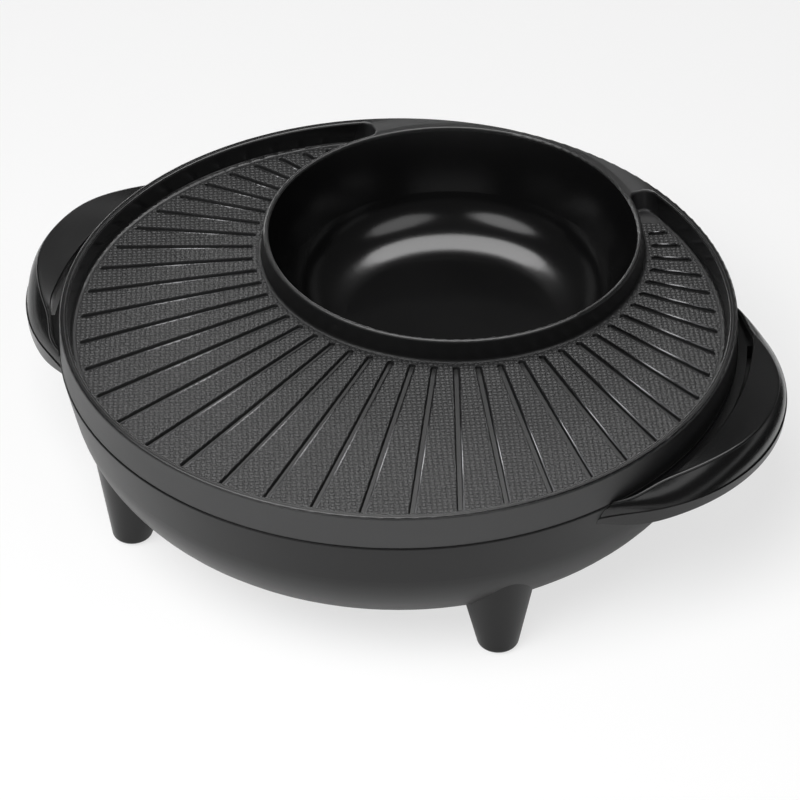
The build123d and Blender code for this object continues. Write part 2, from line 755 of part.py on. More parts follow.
def leg_levels():
    """The sheet's upper face and the element's end at each leg."""
    grill = (TRAY_INSIDE_FLOOR, GRILL_ELEMENT_END)
    pot = (WELL_INSIDE_FLOOR, POT_ELEMENT_END)
    return [grill, grill, pot, pot]


def element_bushes():
    return Compound([bush(place, level[0]) for place, level in zip(element_legs(), leg_levels())])


def element_terminals():
    return Compound(
        [
            post(place, TERMINAL_RADIUS, level[1] - TERMINAL_LENGTH, level[1])
            for place, level in zip(element_legs(), leg_levels())
        ]
    )


def thermostat_screw_places():
    x, y = THERMOSTAT_PLACE
    return [(x + side * THERMOSTAT_HOLES / 2, y) for side in (-1, 1)]


def strap_screw_places():
    x, y = FUSE_PLACE
    offset = (STRAP_LENGTH / 2 + FUSE_RADIUS + SHEET) / 2
    return [(x + side * offset, y) for side in (-1, 1)]


def tray_screw_places():
    return thermostat_screw_places() + strap_screw_places() + [EARTH_SCREW_PLACE]


def blade_places():
    x, y = THERMOSTAT_PLACE
    return [(x + side * BLADE_SPACING / 2, y) for side in (-1, 1)]


def thermostat_bottom():
    return REFLECTOR_TRAY_FLOOR - THERMOSTAT_FLANGE[2] - THERMOSTAT_HEIGHT


def thermostat():
    width, depth, thickness = THERMOSTAT_FLANGE
    flange = Pos(*THERMOSTAT_PLACE, REFLECTOR_TRAY_FLOOR) * extrude(SlotOverall(width, depth), -thickness)
    body = post(
        THERMOSTAT_PLACE, THERMOSTAT_RADIUS, thermostat_bottom(), REFLECTOR_TRAY_FLOOR - thickness
    )
    solid = flange + body
    for place in blade_places():
        blade = Rectangle(BLADE[1], BLADE[0])
        solid += Pos(*place, thermostat_bottom()) * extrude(blade, -BLADE[2])
    holes = [
        post(place, SMALL_SCREW_RADIUS, REFLECTOR_TRAY_FLOOR - thickness, REFLECTOR_TRAY_FLOOR)
        for place in thermostat_screw_places()
    ]
    return solid - holes


def fuse_height():
    return REFLECTOR_TRAY_FLOOR - FUSE_RADIUS


def thermal_fuse():
    axis = Plane((*FUSE_PLACE, fuse_height()), z_dir=(0, 1, 0))
    body = extrude(axis * Circle(FUSE_RADIUS), FUSE_LENGTH / 2, both=True)
    pins = extrude(axis * Circle(FUSE_PIN_RADIUS), FUSE_LENGTH / 2 + FUSE_PIN_LENGTH, both=True)
    return fillet(body.edges(), FUSE_PIN_RADIUS / 2) + pins


def fuse_strap():
    """Bent strap that holds the fuse against the tray's underside."""
    face = Plane((*FUSE_PLACE, fuse_height()), x_dir=(1, 0, 0), z_dir=(0, -1, 0))
    outer = FUSE_RADIUS + SHEET
    lap = Pos(0, FUSE_RADIUS - SHEET / 2) * Rectangle(STRAP_LENGTH, SHEET)
    saddle = Pos(0, FUSE_RADIUS / 2) * Rectangle(2 * outer, FUSE_RADIUS)
    slot = Pos(0, FUSE_RADIUS / 2) * Rectangle(2 * FUSE_RADIUS, FUSE_RADIUS)
    section = Circle(outer) + saddle + lap - Circle(FUSE_RADIUS) - slot
    above = Pos(0, FUSE_RADIUS + outer) * Rectangle(STRAP_LENGTH, 2 * outer)
    strap = extrude(face * (section - above), STRAP_WIDTH / 2, both=True)
    holes = [
        post(place, SMALL_SCREW_RADIUS, REFLECTOR_TRAY_FLOOR - SHEET, REFLECTOR_TRAY_FLOOR)
        for place in strap_screw_places()
    ]
    return strap - holes


def tray_screw(place, below):
    """Small screw from the tray's upper face down through what it holds."""
    return upright_screw(
        place, TRAY_INSIDE_FLOOR, SHEET + below, -1, SMALL_SCREW_RADIUS, SMALL_HEAD_RADIUS, SMALL_HEAD
    )


def tray_screws():
    screws = [tray_screw(place, THERMOSTAT_FLANGE[2]) for place in thermostat_screw_places()]
    screws += [tray_screw(place, SHEET) for place in strap_screw_places()]
    return Compound(screws)


def earth_screw():
    return tray_screw(EARTH_SCREW_PLACE, EARTH_SCREW_LENGTH)


def inlet_pin_places():
    """Places of the three pins across and up the inlet's face: two live and one earth."""
    return [(-PIN_SPACING, -PIN_LIVE_DROP), (PIN_SPACING, -PIN_LIVE_DROP), (0.0, PIN_EARTH_RISE)]


def inlet_pins():
    back = inlet_plane(PAD_RADIUS - INLET_BODY_DEPTH - PIN_TAIL)
    length = PIN_TAIL + INLET_BODY_DEPTH + INLET_FLANGE[2] - PIN_RECESS
    blade = Rectangle(PIN_THICKNESS, PIN_WIDTH)
    return Compound([extrude(back * Pos(*place) * blade, length) for place in inlet_pin_places()])


def inlet_socket():
    face = inlet_plane(PAD_RADIUS)
    front = inlet_plane(PAD_RADIUS + INLET_FLANGE[2])
    flange = extrude(face * SlotOverall(INLET_FLANGE[0], INLET_FLANGE[1]), INLET_FLANGE[2])
    body = extrude(face * Rectangle(*INLET_BODY), -INLET_BODY_DEPTH)
    mouth = Rectangle(*INLET_CAVITY)
    mouth = chamfer(mouth.vertices().group_by(Axis.Y)[-1], INLET_CAVITY_CHAMFER)
    solid = flange + body - extrude(front * mouth, -INLET_CAVITY_DEPTH)
    for side in (-1, 1):
        hole = front * Pos(side * INLET_SCREW_SPACING / 2, 0) * Circle(SMALL_SCREW_RADIUS)
        solid -= extrude(hole, -INLET_FLANGE[2])
    return solid - inlet_pins().solids()


def inlet_screws():
    front = inlet_plane(PAD_RADIUS + INLET_FLANGE[2])
    screws = []
    for side in (-1, 1):
        seat = front * Pos(side * INLET_SCREW_SPACING / 2, 0)
        head = extrude(seat * Circle(SMALL_HEAD_RADIUS), SMALL_HEAD)
        shank = extrude(seat * Circle(SMALL_SCREW_RADIUS), -INLET_FLANGE[2] - PAD_WALL)
        screws.append(head + shank)
    return Compound(screws)


def pin_tail(index):
    """End of an inlet pin inside the shell, and a point straight behind it."""
    back = inlet_plane(PAD_RADIUS - INLET_BODY_DEPTH - PIN_TAIL)
    x, y = inlet_pin_places()[index]
    end = back.from_local_coords((x, y, 0))
    behind = back.from_local_coords((x, y, -2 * LEAD_BEND))
    return end, behind


def below(point, drop):
    return Vector(point) - Vector(0, 0, drop)


def sleeve_ends(index):
    """The two lead ends side by side under a grill terminal's sleeve."""
    x, y = element_legs()[index]
    z = GRILL_ELEMENT_END - TERMINAL_LENGTH - SLEEVE_LENGTH
    shift = LEAD_RADIUS + LEAD_GAP / 2
    return Vector(x - shift, y, z), Vector(x + shift, y, z)


def terminal_sleeves():
    top = GRILL_ELEMENT_END - TERMINAL_LENGTH
    return Compound([post(place, SLEEVE_RADIUS, top - SLEEVE_LENGTH, top) for place in element_legs()[:2]])


def pot_lead_end(index):
    """Where a lead meets the side of a pot terminal, under the reflector's well."""
    x, y = element_legs()[2 + index]
    return Vector(x - TERMINAL_RADIUS, y, POT_ELEMENT_END - TERMINAL_LENGTH + LEAD_RADIUS)


def lead(*points):
    return tube(FilletPolyline(*points, radius=LEAD_BEND), LEAD_RADIUS)


def blade_end(index):
    x, y = blade_places()[index]
    return Vector(x, y, thermostat_bottom() - BLADE[2])


def fuse_end(side):
    """End of a fuse pin and a point straight past it."""
    reach = FUSE_LENGTH / 2 + FUSE_PIN_LENGTH
    x, y = FUSE_PLACE
    z = fuse_height()
    return Vector(x, y + side * reach, z), Vector(x, y + side * (reach + 2 * LEAD_BEND), z)


def pot_lead(start, turn, index):
    """Lead from a grill terminal's sleeve down under the well to a pot terminal."""
    end = pot_lead_end(index)
    return lead(start, below(start, SLEEVE_LEAD_DROP), turn, end - Vector(POT_LEAD_RUN, 0, 0), end)


def line_leads():
    tail, behind = pin_tail(1)
    inner_blade = blade_end(1)
    feed = lead(tail, behind, below(inner_blade, BLADE_LEAD_DROP), inner_blade)
    near, past = fuse_end(1)
    outer_blade = blade_end(0)
    link = lead(
        near, past, below(past, LINK_LEAD_DROP), below(outer_blade, SLEEVE_LEAD_DROP), outer_blade
    )
    far, beyond = fuse_end(-1)
    grill_end, pot_start = sleeve_ends(0)
    to_grill = lead(
        far,
        beyond,
        below(beyond, FUSE_LEAD_DROP),
        LINE_LEAD_TURN,
        below(grill_end, SLEEVE_LEAD_DROP),
        grill_end,
    )
    return Compound([feed, link, to_grill, pot_lead(pot_start, LINE_POT_TURN, 0)])


def neutral_leads():
    tail, behind = pin_tail(0)
    grill_end, pot_start = sleeve_ends(1)
    feed = lead(tail, behind, NEUTRAL_LEAD_TURN, below(grill_end, SLEEVE_LEAD_DROP), grill_end)
    return Compound([feed, pot_lead(pot_start, NEUTRAL_POT_TURN, 1)])


def earth_lead():
    tail, behind = pin_tail(2)
    x, y = EARTH_SCREW_PLACE
    end = Vector(x, y, REFLECTOR_TRAY_FLOOR - EARTH_SCREW_LENGTH)
    return lead(tail, behind, below(end, EARTH_LEAD_DROP), end)


def ease(value):
    """Goes from 0 to 1 with level ends."""
    share = min(max(value, 0.0), 1.0)
    return share * share * (3 - 2 * share)


def wing_outline(angle):
    """Radius of a wing's outer edge from the pan's axis."""
    turn = radians(angle)
    return WING_AXIS_X * cos(turn) + sqrt(WING_CURVE**2 - (WING_AXIS_X * sin(turn)) ** 2)


def crest_place(angle):
    """Radius and height of a wing's crest, which steps in and falls towards the ends."""
    turn = abs(angle)
    step = ease((turn - CREST_START_ANGLE) / (CREST_STEP_ANGLE - CREST_START_ANGLE))
    inset = CREST_INSET + (CREST_STEP_INSET - CREST_INSET) * step
    past = ease((turn - CREST_STEP_ANGLE) / (CREST_CLOSE_ANGLE - CREST_STEP_ANGLE))
    drop = WING_END_DROP * ease((turn - CREST_FALL_ANGLE) / (WING_END_ANGLE - CREST_FALL_ANGLE))
    return wing_outline(angle) - inset * (1 - CREST_END_TAPER * past), WING_TOP - drop


def crease_height(angle):
    """Height of the crease over the upright band along a wing's side."""
    turn = abs(angle)
    past = max(0.0, (turn - CREASE_ANGLE) / (WING_END_ANGLE - CREASE_ANGLE))
    grown = CREASE_GROWTH * min(1.0, turn / CREASE_ANGLE) ** 2
    return WING_BOTTOM + CREASE_RISE + grown - CREASE_END_DROP * past**2


def foot_edge_height(angle):
    """Height of a wing's lower edge, which dips before it runs out on the shell."""
    turn = abs(angle)
    down = min(1.0, turn / FOOT_EDGE_ANGLE) ** 2.5
    back = ease((turn - FOOT_EDGE_ANGLE) / (WING_END_ANGLE - FOOT_EDGE_ANGLE))
    return WING_BOTTOM - FOOT_EDGE_DIP * down * (1 - back) + FOOT_EDGE_LIFT * back


def bowed(start, end, share):
    """Arc that stands out to the left of its chord by a share of the chord."""
    middle = (
        (start[0] + end[0] - 2 * share * (end[1] - start[1])) / 2,
        (start[1] + end[1] + 2 * share * (end[0] - start[0])) / 2,
    )
    return ThreePointArc(start, middle, end)


def wing_section(angle):
    """Section through a wing and its root, in a plane through the pan's axis."""
    outer = wing_outline(angle)
    crest, top = crest_place(angle)
    inner = min(WING_INNER, crest - CREST_LAND)
    inner_top = min(WING_TOP - WING_DISH, top - CREST_ROUND / 2)
    crease = crease_height(angle)
    bottom = foot_edge_height(angle)
    root = SEAT_INNER_RADIUS
    back_foot = (root, bottom)
    back_top = (root, BRACKET_TOP)
    step_foot = (inner, BRACKET_TOP)
    inner_low = (inner, inner_top - INNER_ROUND)
    inner_high = (inner + INNER_ROUND, inner_top)
    crest_in = (crest - CREST_ROUND, top)
    crest_out = (crest + CREST_ROUND / 2, top - CREST_ROUND)
    shoulder = (outer - CREASE_STEP, crease)
    band_top = (outer, crease - CREASE_STEP / 2)
    outer_foot = (outer - CREASE_STEP / 2, bottom)
    outline = [
        Line(back_foot, back_top),
        Line(back_top, step_foot),
        Line(step_foot, inner_low),
        bowed(inner_low, inner_high, 0.2),
        Line(inner_high, crest_in),
        bowed(crest_in, crest_out, 0.2),
        bowed(crest_out, shoulder, WING_BULGE),
        Line(shoulder, band_top),
        Line(band_top, outer_foot),
        Line(outer_foot, back_foot),
    ]
    return handle_plane(angle) * make_face(outline)


def handle_plane(angle):
    """Upright plane through the pan's axis, with its X outwards and its Y up."""
    turn = radians(angle)
    return Plane((0, 0, 0), x_dir=(cos(turn), sin(turn), 0.0), z_dir=(sin(turn), -cos(turn), 0.0))


def handle_ring(inner, outer, bottom, top, half_angle):
    """Part of a ring about the pan's axis, to both sides of a handle's middle."""
    section = Pos((inner + outer) / 2, (bottom + top) / 2) * Rectangle(outer - inner, top - bottom)
    return revolve(handle_plane(-half_angle) * section, Axis.Z, 2 * half_angle)


def finger_recess():
    """Hollow for the finger tips under a wing."""
    inner = WING_INNER + RECESS_INNER_WALL
    bottom, top = WING_BOTTOM - FOOT_EDGE_DIP - OVER, WING_BOTTOM + RECESS_DEPTH
    ring = handle_ring(inner, SHELL_RADIUS + HANDLE_REACH, bottom, top, RECESS_ANGLE)
    return ring & post((WING_AXIS_X, 0), WING_CURVE - RECESS_WALL, bottom, top)


def handle_right():
    sides = (1.0, 0.94, 0.87, 0.78, 0.69, 0.61, 0.52, 0.4, 0.23)
    shares = [-share for share in sides] + [0.0] + list(reversed(sides))
    solid = loft([wing_section(WING_END_ANGLE * share) for share in shares])
    bracket = handle_ring(SEAT_INNER_RADIUS, BRACKET_RADIUS, BRACKET_BOTTOM, BRACKET_TOP, BRACKET_ANGLE)
    lower_corners = bracket.edges().filter_by(GeomType.LINE).group_by(Axis.Z)[0]
    solid += fillet(lower_corners, BRACKET_CORNER)
    solid -= shell_outside()
    solid -= post((0, 0), SHELL_RADIUS + HANDLE_CLEARANCE, BRACKET_TOP, RIM_TOP)
    solid -= handle_ring(
        BRACKET_RADIUS, WING_INNER + SLOT_RELIEF, BRACKET_BOTTOM - OVER, BRACKET_TOP + OVER, SLOT_ANGLE
    )
    solid -= finger_recess()
    for angle in (-HANDLE_SCREW_ANGLE, HANDLE_SCREW_ANGLE):
        seat = radial_plane(angle, handle_screw_seat(), HANDLE_SCREW_Z)
        solid -= extrude(seat * Circle(SCREW_RADIUS), HANDLE_SCREW_LENGTH)
    return solid


def handle_left():
    return mirror(handle_right(), about=Plane.YZ)


def handle_screws():
    screws = []
    for angle in handle_screw_angles():
        seat = radial_plane(angle, handle_screw_seat(), HANDLE_SCREW_Z)
        shank = extrude(seat * Circle(SCREW_RADIUS), HANDLE_SCREW_LENGTH)
        head = extrude(seat * Circle(SCREW_HEAD_RADIUS), -SCREW_HEAD)
        screws.append(shank + head)
    return Compound(screws)


def foot(place):
    """Leaning cone from the table up to the shell, bored for its screw and rubber pad."""
    x, y = place
    share = 1 - FOOT_LEAN / FOOT_CIRCLE
    bottom = Pos(x, y, FOOT_LIFT) * Circle(FOOT_RADIUS)
    top = Pos(x * share, y * share, FOOT_HEIGHT) * Circle(FOOT_RADIUS + FOOT_FLARE)
    solid = loft([bottom, top])
    solid = fillet(solid.edges().group_by(Axis.Z)[0], FOOT_ROUND)
    solid -= shell_outside()
    solid -= post(place, FOOT_PAD_RADIUS, 0.0, FOOT_PAD_HEIGHT)
    solid -= post(place, SCREW_HEAD_RADIUS + PAN_CLEARANCE, 0.0, FOOT_SCREW_SEAT)
    return solid - post(place, SCREW_RADIUS, 0.0, FOOT_HEIGHT)


def foot_pads():
    return Compound([post(place, FOOT_PAD_RADIUS, 0.0, FOOT_PAD_HEIGHT) for place in foot_places().values()])


def foot_screws():
    return Compound(
        [
            upright_screw(
                place, FOOT_SCREW_SEAT, FOOT_SCREW_LENGTH, 1, SCREW_RADIUS, SCREW_HEAD_RADIUS, SCREW_HEAD
            )
            for place in foot_places().values()
        ]
    )


def parts():
    """Every node's name and solid."""
    builders = (
        cooking_pan,
        base_shell,
        seat_ring,
        heat_reflector,
        reflector_spacers,
        reflector_screws,
        grill_element,
        grill_element_clips,
        pot_element,
        pot_element_clips,
        element_bushes,
        element_terminals,
        terminal_sleeves,
        thermostat,
        thermal_fuse,
        fuse_strap,
        tray_screws,
        earth_screw,
        line_leads,
        neutral_leads,
        earth_lead,
        inlet_socket,
        inlet_pins,
        inlet_screws,
        handle_left,
        handle_right,
        handle_screws,
        foot_pads,
        foot_screws,
    )
    named = {builder.__name__: builder() for builder in builders}
    named.update({f"foot_{name}": foot(place) for name, place in foot_places().items()})
    return named


os.makedirs("parts", exist_ok=True)
for node, solid in parts().items():
    export_step(solid, f"parts/{node}.step")
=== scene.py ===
import math

import bmesh
import bpy
from bpy.props import FloatProperty, FloatVectorProperty, IntProperty, PointerProperty
from mathutils import Matrix, Vector


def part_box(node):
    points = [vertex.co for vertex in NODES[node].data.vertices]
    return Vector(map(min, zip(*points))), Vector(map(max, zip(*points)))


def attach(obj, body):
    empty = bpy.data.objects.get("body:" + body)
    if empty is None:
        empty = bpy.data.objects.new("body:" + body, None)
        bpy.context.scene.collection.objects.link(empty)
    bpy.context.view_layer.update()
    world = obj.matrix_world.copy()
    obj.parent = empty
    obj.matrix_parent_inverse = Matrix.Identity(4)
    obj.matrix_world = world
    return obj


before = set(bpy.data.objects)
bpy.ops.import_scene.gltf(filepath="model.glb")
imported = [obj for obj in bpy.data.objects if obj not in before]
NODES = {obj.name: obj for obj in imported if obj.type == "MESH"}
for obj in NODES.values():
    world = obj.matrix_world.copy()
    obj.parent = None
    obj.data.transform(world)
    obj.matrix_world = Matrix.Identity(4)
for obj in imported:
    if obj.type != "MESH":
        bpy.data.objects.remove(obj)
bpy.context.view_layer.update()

bl_info = {
    "name": "Electric grill and hot pot",
    "version": (1, 0, 0),
    "blender": (4, 0, 0),
    "location": "View3D > Sidebar > Grill",
    "description": "Dresses the grill's frame: the embossed plate, the finishes and the studio",
    "category": "Object",
}

PAN_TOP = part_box("cooking_pan")[1].z
PLATE_FACE = PAN_TOP - 0.013
POT_OFFSET = 0.078

# Bands of radius from the pan's axis in which its coat changes
GROOVE_BORDER = (0.1815, 0.1830)
WALL_FOOT = (0.1826, 0.1832)
WALL_HEAD = (0.1868, 0.1876)
RIM_EDGE = (0.1892, 0.1898)

# Bands of radius from the pot's axis
POT_EDGE = (0.1066, 0.1072)
COLLAR_EDGE = (0.1119, 0.1127)
LAND_EDGE = (0.1180, 0.1260)

# Bands of height over the table
GROOVE_BED = (PLATE_FACE - 0.0028, PLATE_FACE - 0.0024)
GROOVE_BRIM = (PLATE_FACE - 0.0007, PLATE_FACE - 0.0001)
WALL_START = (PLATE_FACE - 0.0004, PLATE_FACE + 0.0004)
CROWN_START = (PAN_TOP - 0.0040, PAN_TOP - 0.0030)

# The edge of the seat ring that shows in the seam, in rubber made lighter as painted light
SEAM_RADIUS = 0.19045
SEAM_DEPTH = 0.003
SEAM_LEVELS = (0.09742, 0.09796)
SEAM_STEPS = 240

# The web in the right handle's slot
SLOT_SIDES = (0.19620, 0.19970)
SLOT_HALF = math.radians(20.0)
WEB_LEVELS = (0.08620, 0.08740)
WEB_STEPS = 24

# A thread of the weave: length and width as shares of those below, then shares of its height
THREAD_FOOT = (1.06, 0.74)
THREAD_SHOULDER = (0.93, 0.86)
THREAD_CROWN = (0.72, 0.58)
SHOULDER_RISE = 0.62
CROWN_RISE = 0.38

# The least of a thread that is kept beside a groove, and the groove steps past the last groove
LEAST_THREAD = 0.0006
STEPS_PAST_LAST_GROOVE = 0.75

# Sides of a groove's lip, and the distances at which corners are welded
LIP_SEGMENTS = 12
RING_WELD = 1e-6
THREAD_WELD = 1e-7

# The part of a noise's range that a roughness follows, and the depth of streaks in metal
NOISE_BAND = (0.3, 0.7)
METAL_RELIEF = 0.00002

# The studio: floor, black card, horizon and the point that the lamps face
FLOOR_HALF = 6.0
FLOOR_CELLS = 8
FLOOR_GLOW = 0.7
GLOSS_SHARE = 0.4
CARD_CELLS = 4
CARD_SIZE = (1.4, 1.7, 1.0)
CARD_PLACE = (1.05, 0.1, 0.001)
STUDIO_ROUGHNESS = 0.9
WHITE = (1, 1, 1, 1)
HORIZON = (0.04, 0.16)
LAMP_AIM = (0, 0, 0.1)
SENSOR_WIDTH = 36.0

# Each softbox: name, setting, direction from the camera's side, distance, size, rays that miss it
SOFTBOXES = (
    ("Overhead_box", "overhead", (0.0, 0.35, 0.93), 1.5, (1.4, 1.15), "visible_diffuse"),
    ("Top_fill", "fill", (-0.30, -0.45, 0.84), 2.0, (1.6, 1.6), "visible_glossy"),
    ("Back_strip", "back_strip", (-0.25, 0.95, 0.17), 1.7, (2.4, 0.14), "visible_diffuse"),
    ("Right_box", "front_right", (0.5, -0.43, 0.75), 1.6, (1.2, 0.65), None),
    ("Left_box", "front_left", (-0.5, -0.48, 0.72), 1.6, (1.2, 0.65), None),
)


class GrillPlateSizes(bpy.types.PropertyGroup):
    """Sizes of the embossed weave and the groove lips on the grill plate."""

    pitch: FloatProperty(
        name="Pitch", description="Distance from one thread of the weave to the next",
        default=0.0028, min=0.001, unit="LENGTH")
    turn: FloatProperty(
        name="Turn", description="Angle of the weave's threads to the handles' axis",
        default=math.radians(27), subtype="ANGLE")
    height: FloatProperty(
        name="Height", description="Height of a thread's crown over the plate",
        default=0.00032, min=0.0001, unit="LENGTH")
    sink: FloatProperty(
        name="Sink", description="Depth of a thread's foot under the plate's face",
        default=0.00005, min=0.0, unit="LENGTH")
    floor: FloatProperty(
        name="Plate face", description="Height of the plate's face over the table",
        default=PLATE_FACE, unit="LENGTH")
    outer: FloatProperty(
        name="Outer edge", description="Radius from the pan's axis where the weave ends",
        default=0.1816, unit="LENGTH")
    inner: FloatProperty(
        name="Inner edge", description="Radius from the pot's axis where the weave starts",
        default=0.1133, unit="LENGTH")
    pot_offset: FloatProperty(
        name="Pot offset", description="Distance from the pan's axis back to the pot's axis",
        default=POT_OFFSET, unit="LENGTH")
    groove_step: FloatProperty(
        name="Groove step", description="Angle between two drain grooves at the pot's axis",
        default=math.radians(6), subtype="ANGLE")
    groove_count: IntProperty(
        name="Grooves a side", description="Drain grooves on each side of the front one",
        default=20, min=1)
    groove_half: FloatProperty(
        name="Groove half width",
        description="Half the width that the weave leaves free for a groove",
        default=0.0019, unit="LENGTH")
    lip_radius: FloatProperty(
        name="Lip radius", description="Radius of the rounded lip along a groove's edge",
        default=0.0007, min=0.0001, unit="LENGTH")
    lip_rise: FloatProperty(
        name="Lip rise", description="Height of the lip's crown over the plate",
        default=0.0003, min=0.0, unit="LENGTH")
    groove_start: FloatProperty(
        name="Groove start", description="Radius from the pot's axis where the grooves start",
        default=0.1155, unit="LENGTH")
    groove_end: FloatProperty(
        name="Groove end", description="Radius from the pan's axis where the grooves end",
        default=0.1795, unit="LENGTH")


class GrillFinishColours(bpy.types.PropertyGroup):
    """Colours of the grill's finishes."""

    plate: FloatVectorProperty(
        name="Plate coat", description="Satin coat on the grill plate, the land and the skirt",
        default=(0.014, 0.014, 0.0145), subtype="COLOR", min=0, max=1)
    lip: FloatVectorProperty(
        name="Groove lip", description="Edge of the grooves, rubbed through to grey metal",
        default=(0.20, 0.20, 0.205), subtype="COLOR", min=0, max=1)
    # Painted shade: the pot coat is a darker copy of the plate coat, laid in the pot, on the
    # collar and on the rim
    pot: FloatVectorProperty(
        name="Pot coat", description="Black coat in the pot, on its collar and on the pan's rim",
        default=(0.0035, 0.0035, 0.0036), subtype="COLOR", min=0, max=1)
    shell: FloatVectorProperty(
        name="Shell", description="Moulded plastic of the base shell",
        default=(0.006, 0.006, 0.0062), subtype="COLOR", min=0, max=1)
    handle: FloatVectorProperty(
        name="Handles", description="Moulded plastic of the handles",
        default=(0.004, 0.004, 0.0041), subtype="COLOR", min=0, max=1)
    foot: FloatVectorProperty(
        name="Feet", description="Moulded plastic of the feet",
        default=(0.003, 0.003, 0.0031), subtype="COLOR", min=0, max=1)
    sheet: FloatVectorProperty(
        name="Sheet", description="Bright sheet of the heat reflector and the clips",
        default=(0.60, 0.60, 0.61), subtype="COLOR", min=0, max=1)
    tube: FloatVectorProperty(
        name="Heating tube", description="Sheath of the heating elements",
        default=(0.20, 0.19, 0.18), subtype="COLOR", min=0, max=1)
    ceramic: FloatVectorProperty(
        name="Ceramic", description="Spacers and bushes",
        default=(0.82, 0.79, 0.73), subtype="COLOR", min=0, max=1)


class GrillStageSettings(bpy.types.PropertyGroup):
    """Lamps and camera of the studio."""

    overhead: FloatProperty(
        name="Overhead box", description="Power of the box over the rear, seen only in gloss",
        default=18.0, min=0, unit="POWER")
    front_right: FloatProperty(
        name="Right box", description="Power of the softbox at the front right",
        default=2.8, min=0, unit="POWER")
    front_left: FloatProperty(
        name="Left box", description="Power of the softbox at the front left",
        default=4.2, min=0, unit="POWER")
    fill: FloatProperty(
        name="Top fill", description="Power of the large box at the front left, not seen in gloss",
        default=43.0, min=0, unit="POWER")
    back_strip: FloatProperty(
        name="Back strip", description="Power of the low strip behind, seen only in gloss",
        default=5.5, min=0, unit="POWER")
    surround: FloatProperty(
        name="Surround", description="Strength of the room's light on the surfaces",
        default=0.05, min=0)
    lens: FloatProperty(
        name="Lens", description="Focal length of the camera in millimetres",
        default=135.0, min=1)
    camera_place: FloatVectorProperty(
        name="Camera", description="Place of the camera",
        default=(0.55044, -1.24717, 1.10915), subtype="TRANSLATION")
    camera_turn: FloatVectorProperty(
        name="Camera turn", description="Turn of the camera about X, Y and Z",
        default=(math.radians(52.05), 0.0, math.radians(23.78)), subtype="EULER")


def add_node(tree, kind, inputs=None, **values):
    """Adds a shader node, sets its values, and links or sets its inputs."""
    made = tree.nodes.new(kind)
    for name, value in values.items():
        setattr(made, name, value)
    for name, value in (inputs or {}).items():
        if isinstance(value, bpy.types.NodeSocket):
            tree.links.new(value, made.inputs[name])
        else:
            made.inputs[name].default_value = value
    return made


def reckon(tree, operation, first, second):
    return add_node(tree, "ShaderNodeMath", {0: first, 1: second}, operation=operation).outputs[0]


def shaded(colour, factor):
    return tuple(min(1.0, c * factor) for c in colour)


class Finish:
    """A finish on one principled shader, with its pattern on Object coordinates."""

    def __init__(self, name, colour, roughness, metallic=0.0, ior=1.5):
        self.material = bpy.data.materials.new(name)
        self.material.use_nodes = True
        self.tree = self.material.node_tree
        self.shader = self.tree.nodes["Principled BSDF"]
        self.shader.inputs["Base Color"].default_value = (*colour, 1.0)
        self.shader.inputs["Roughness"].default_value = roughness
        self.shader.inputs["Metallic"].default_value = metallic
        self.shader.inputs["IOR"].default_value = ior
        self.place = self.node("ShaderNodeTexCoord").outputs["Object"]

    def node(self, kind, inputs=None, **values):
        return add_node(self.tree, kind, inputs, **values)

    def moved(self, location=(0, 0, 0), scale=(1, 1, 1)):
        return self.node("ShaderNodeMapping", {
            "Vector": self.place, "Location": location, "Scale": scale}).outputs["Vector"]

    def noise(self, scale, detail=3.0, rough=0.5, vector=None):
        return self.node("ShaderNodeTexNoise", {
            "Vector": vector or self.place, "Scale": scale, "Detail": detail,
            "Roughness": rough}).outputs[0]

    def span(self, value, low, high, to_low, to_high):
        return self.node("ShaderNodeMapRange", {
            "Value": value, "From Min": low, "From Max": high,
            "To Min": to_low, "To Max": to_high}).outputs["Result"]

    def after(self, value, band):
        """Rises from 0 to 1 through a band of values."""
        return self.span(value, *band, 0.0, 1.0)

    def before(self, value, band):
        """Falls from 1 to 0 through a band of values."""
        return self.span(value, *band, 1.0, 0.0)

    def uneven(self, noise, low, high):
        """Follows a noise from a low to a high value."""
        return self.span(noise, *NOISE_BAND, low, high)

    def blend(self, factor, first, second):
        made = self.node("ShaderNodeMix", data_type="RGBA")
        self.tree.links.new(factor, made.inputs[0])
        for socket, value in ((made.inputs[6], first), (made.inputs[7], second)):
            if isinstance(value, bpy.types.NodeSocket):
                self.tree.links.new(value, socket)
            else:
                socket.default_value = (*value, 1.0)
        return made.outputs[2]

    def mottled(self, noise, colour, dark, light):
        """A colour that a noise makes darker and lighter."""
        return self.blend(noise, shaded(colour, dark), shaded(colour, light))

    def mix(self, factor, first, second):
        made = self.node("ShaderNodeMix", data_type="FLOAT")
        sockets = (made.inputs[0], made.inputs[2], made.inputs[3])
        for socket, value in zip(sockets, (factor, first, second)):
            self.tree.links.new(value, socket)
        return made.outputs[0]

    def times(self, first, *others):
        for other in others:
            first = reckon(self.tree, "MULTIPLY", first, other)
        return first

    def distance(self, vector):
        return self.node("ShaderNodeVectorMath", {0: vector}, operation="LENGTH").outputs["Value"]

    def colour(self, socket):
        self.tree.links.new(socket, self.shader.inputs["Base Color"])

    def roughness(self, socket):
        self.tree.links.new(socket, self.shader.inputs["Roughness"])

    def relief(self, *layers):
        """Bumps the surface by layers of height and depth, each on the one before."""
        normal = None
        for height, distance in layers:
            inputs = {"Height": height, "Distance": distance, "Strength": 1.0}
            if normal is not None:
                inputs["Normal"] = normal
            normal = self.node("ShaderNodeBump", inputs).outputs["Normal"]
        self.tree.links.new(normal, self.shader.inputs["Normal"])


def dress(finish, *names):
    """Gives a finish to every material slot of the named frame nodes."""
    for name in names:
        node = NODES[name]
        if not node.material_slots:
            raise RuntimeError(f"{name} has no material slot")
        for slot in node.material_slots:
            slot.material = finish.material


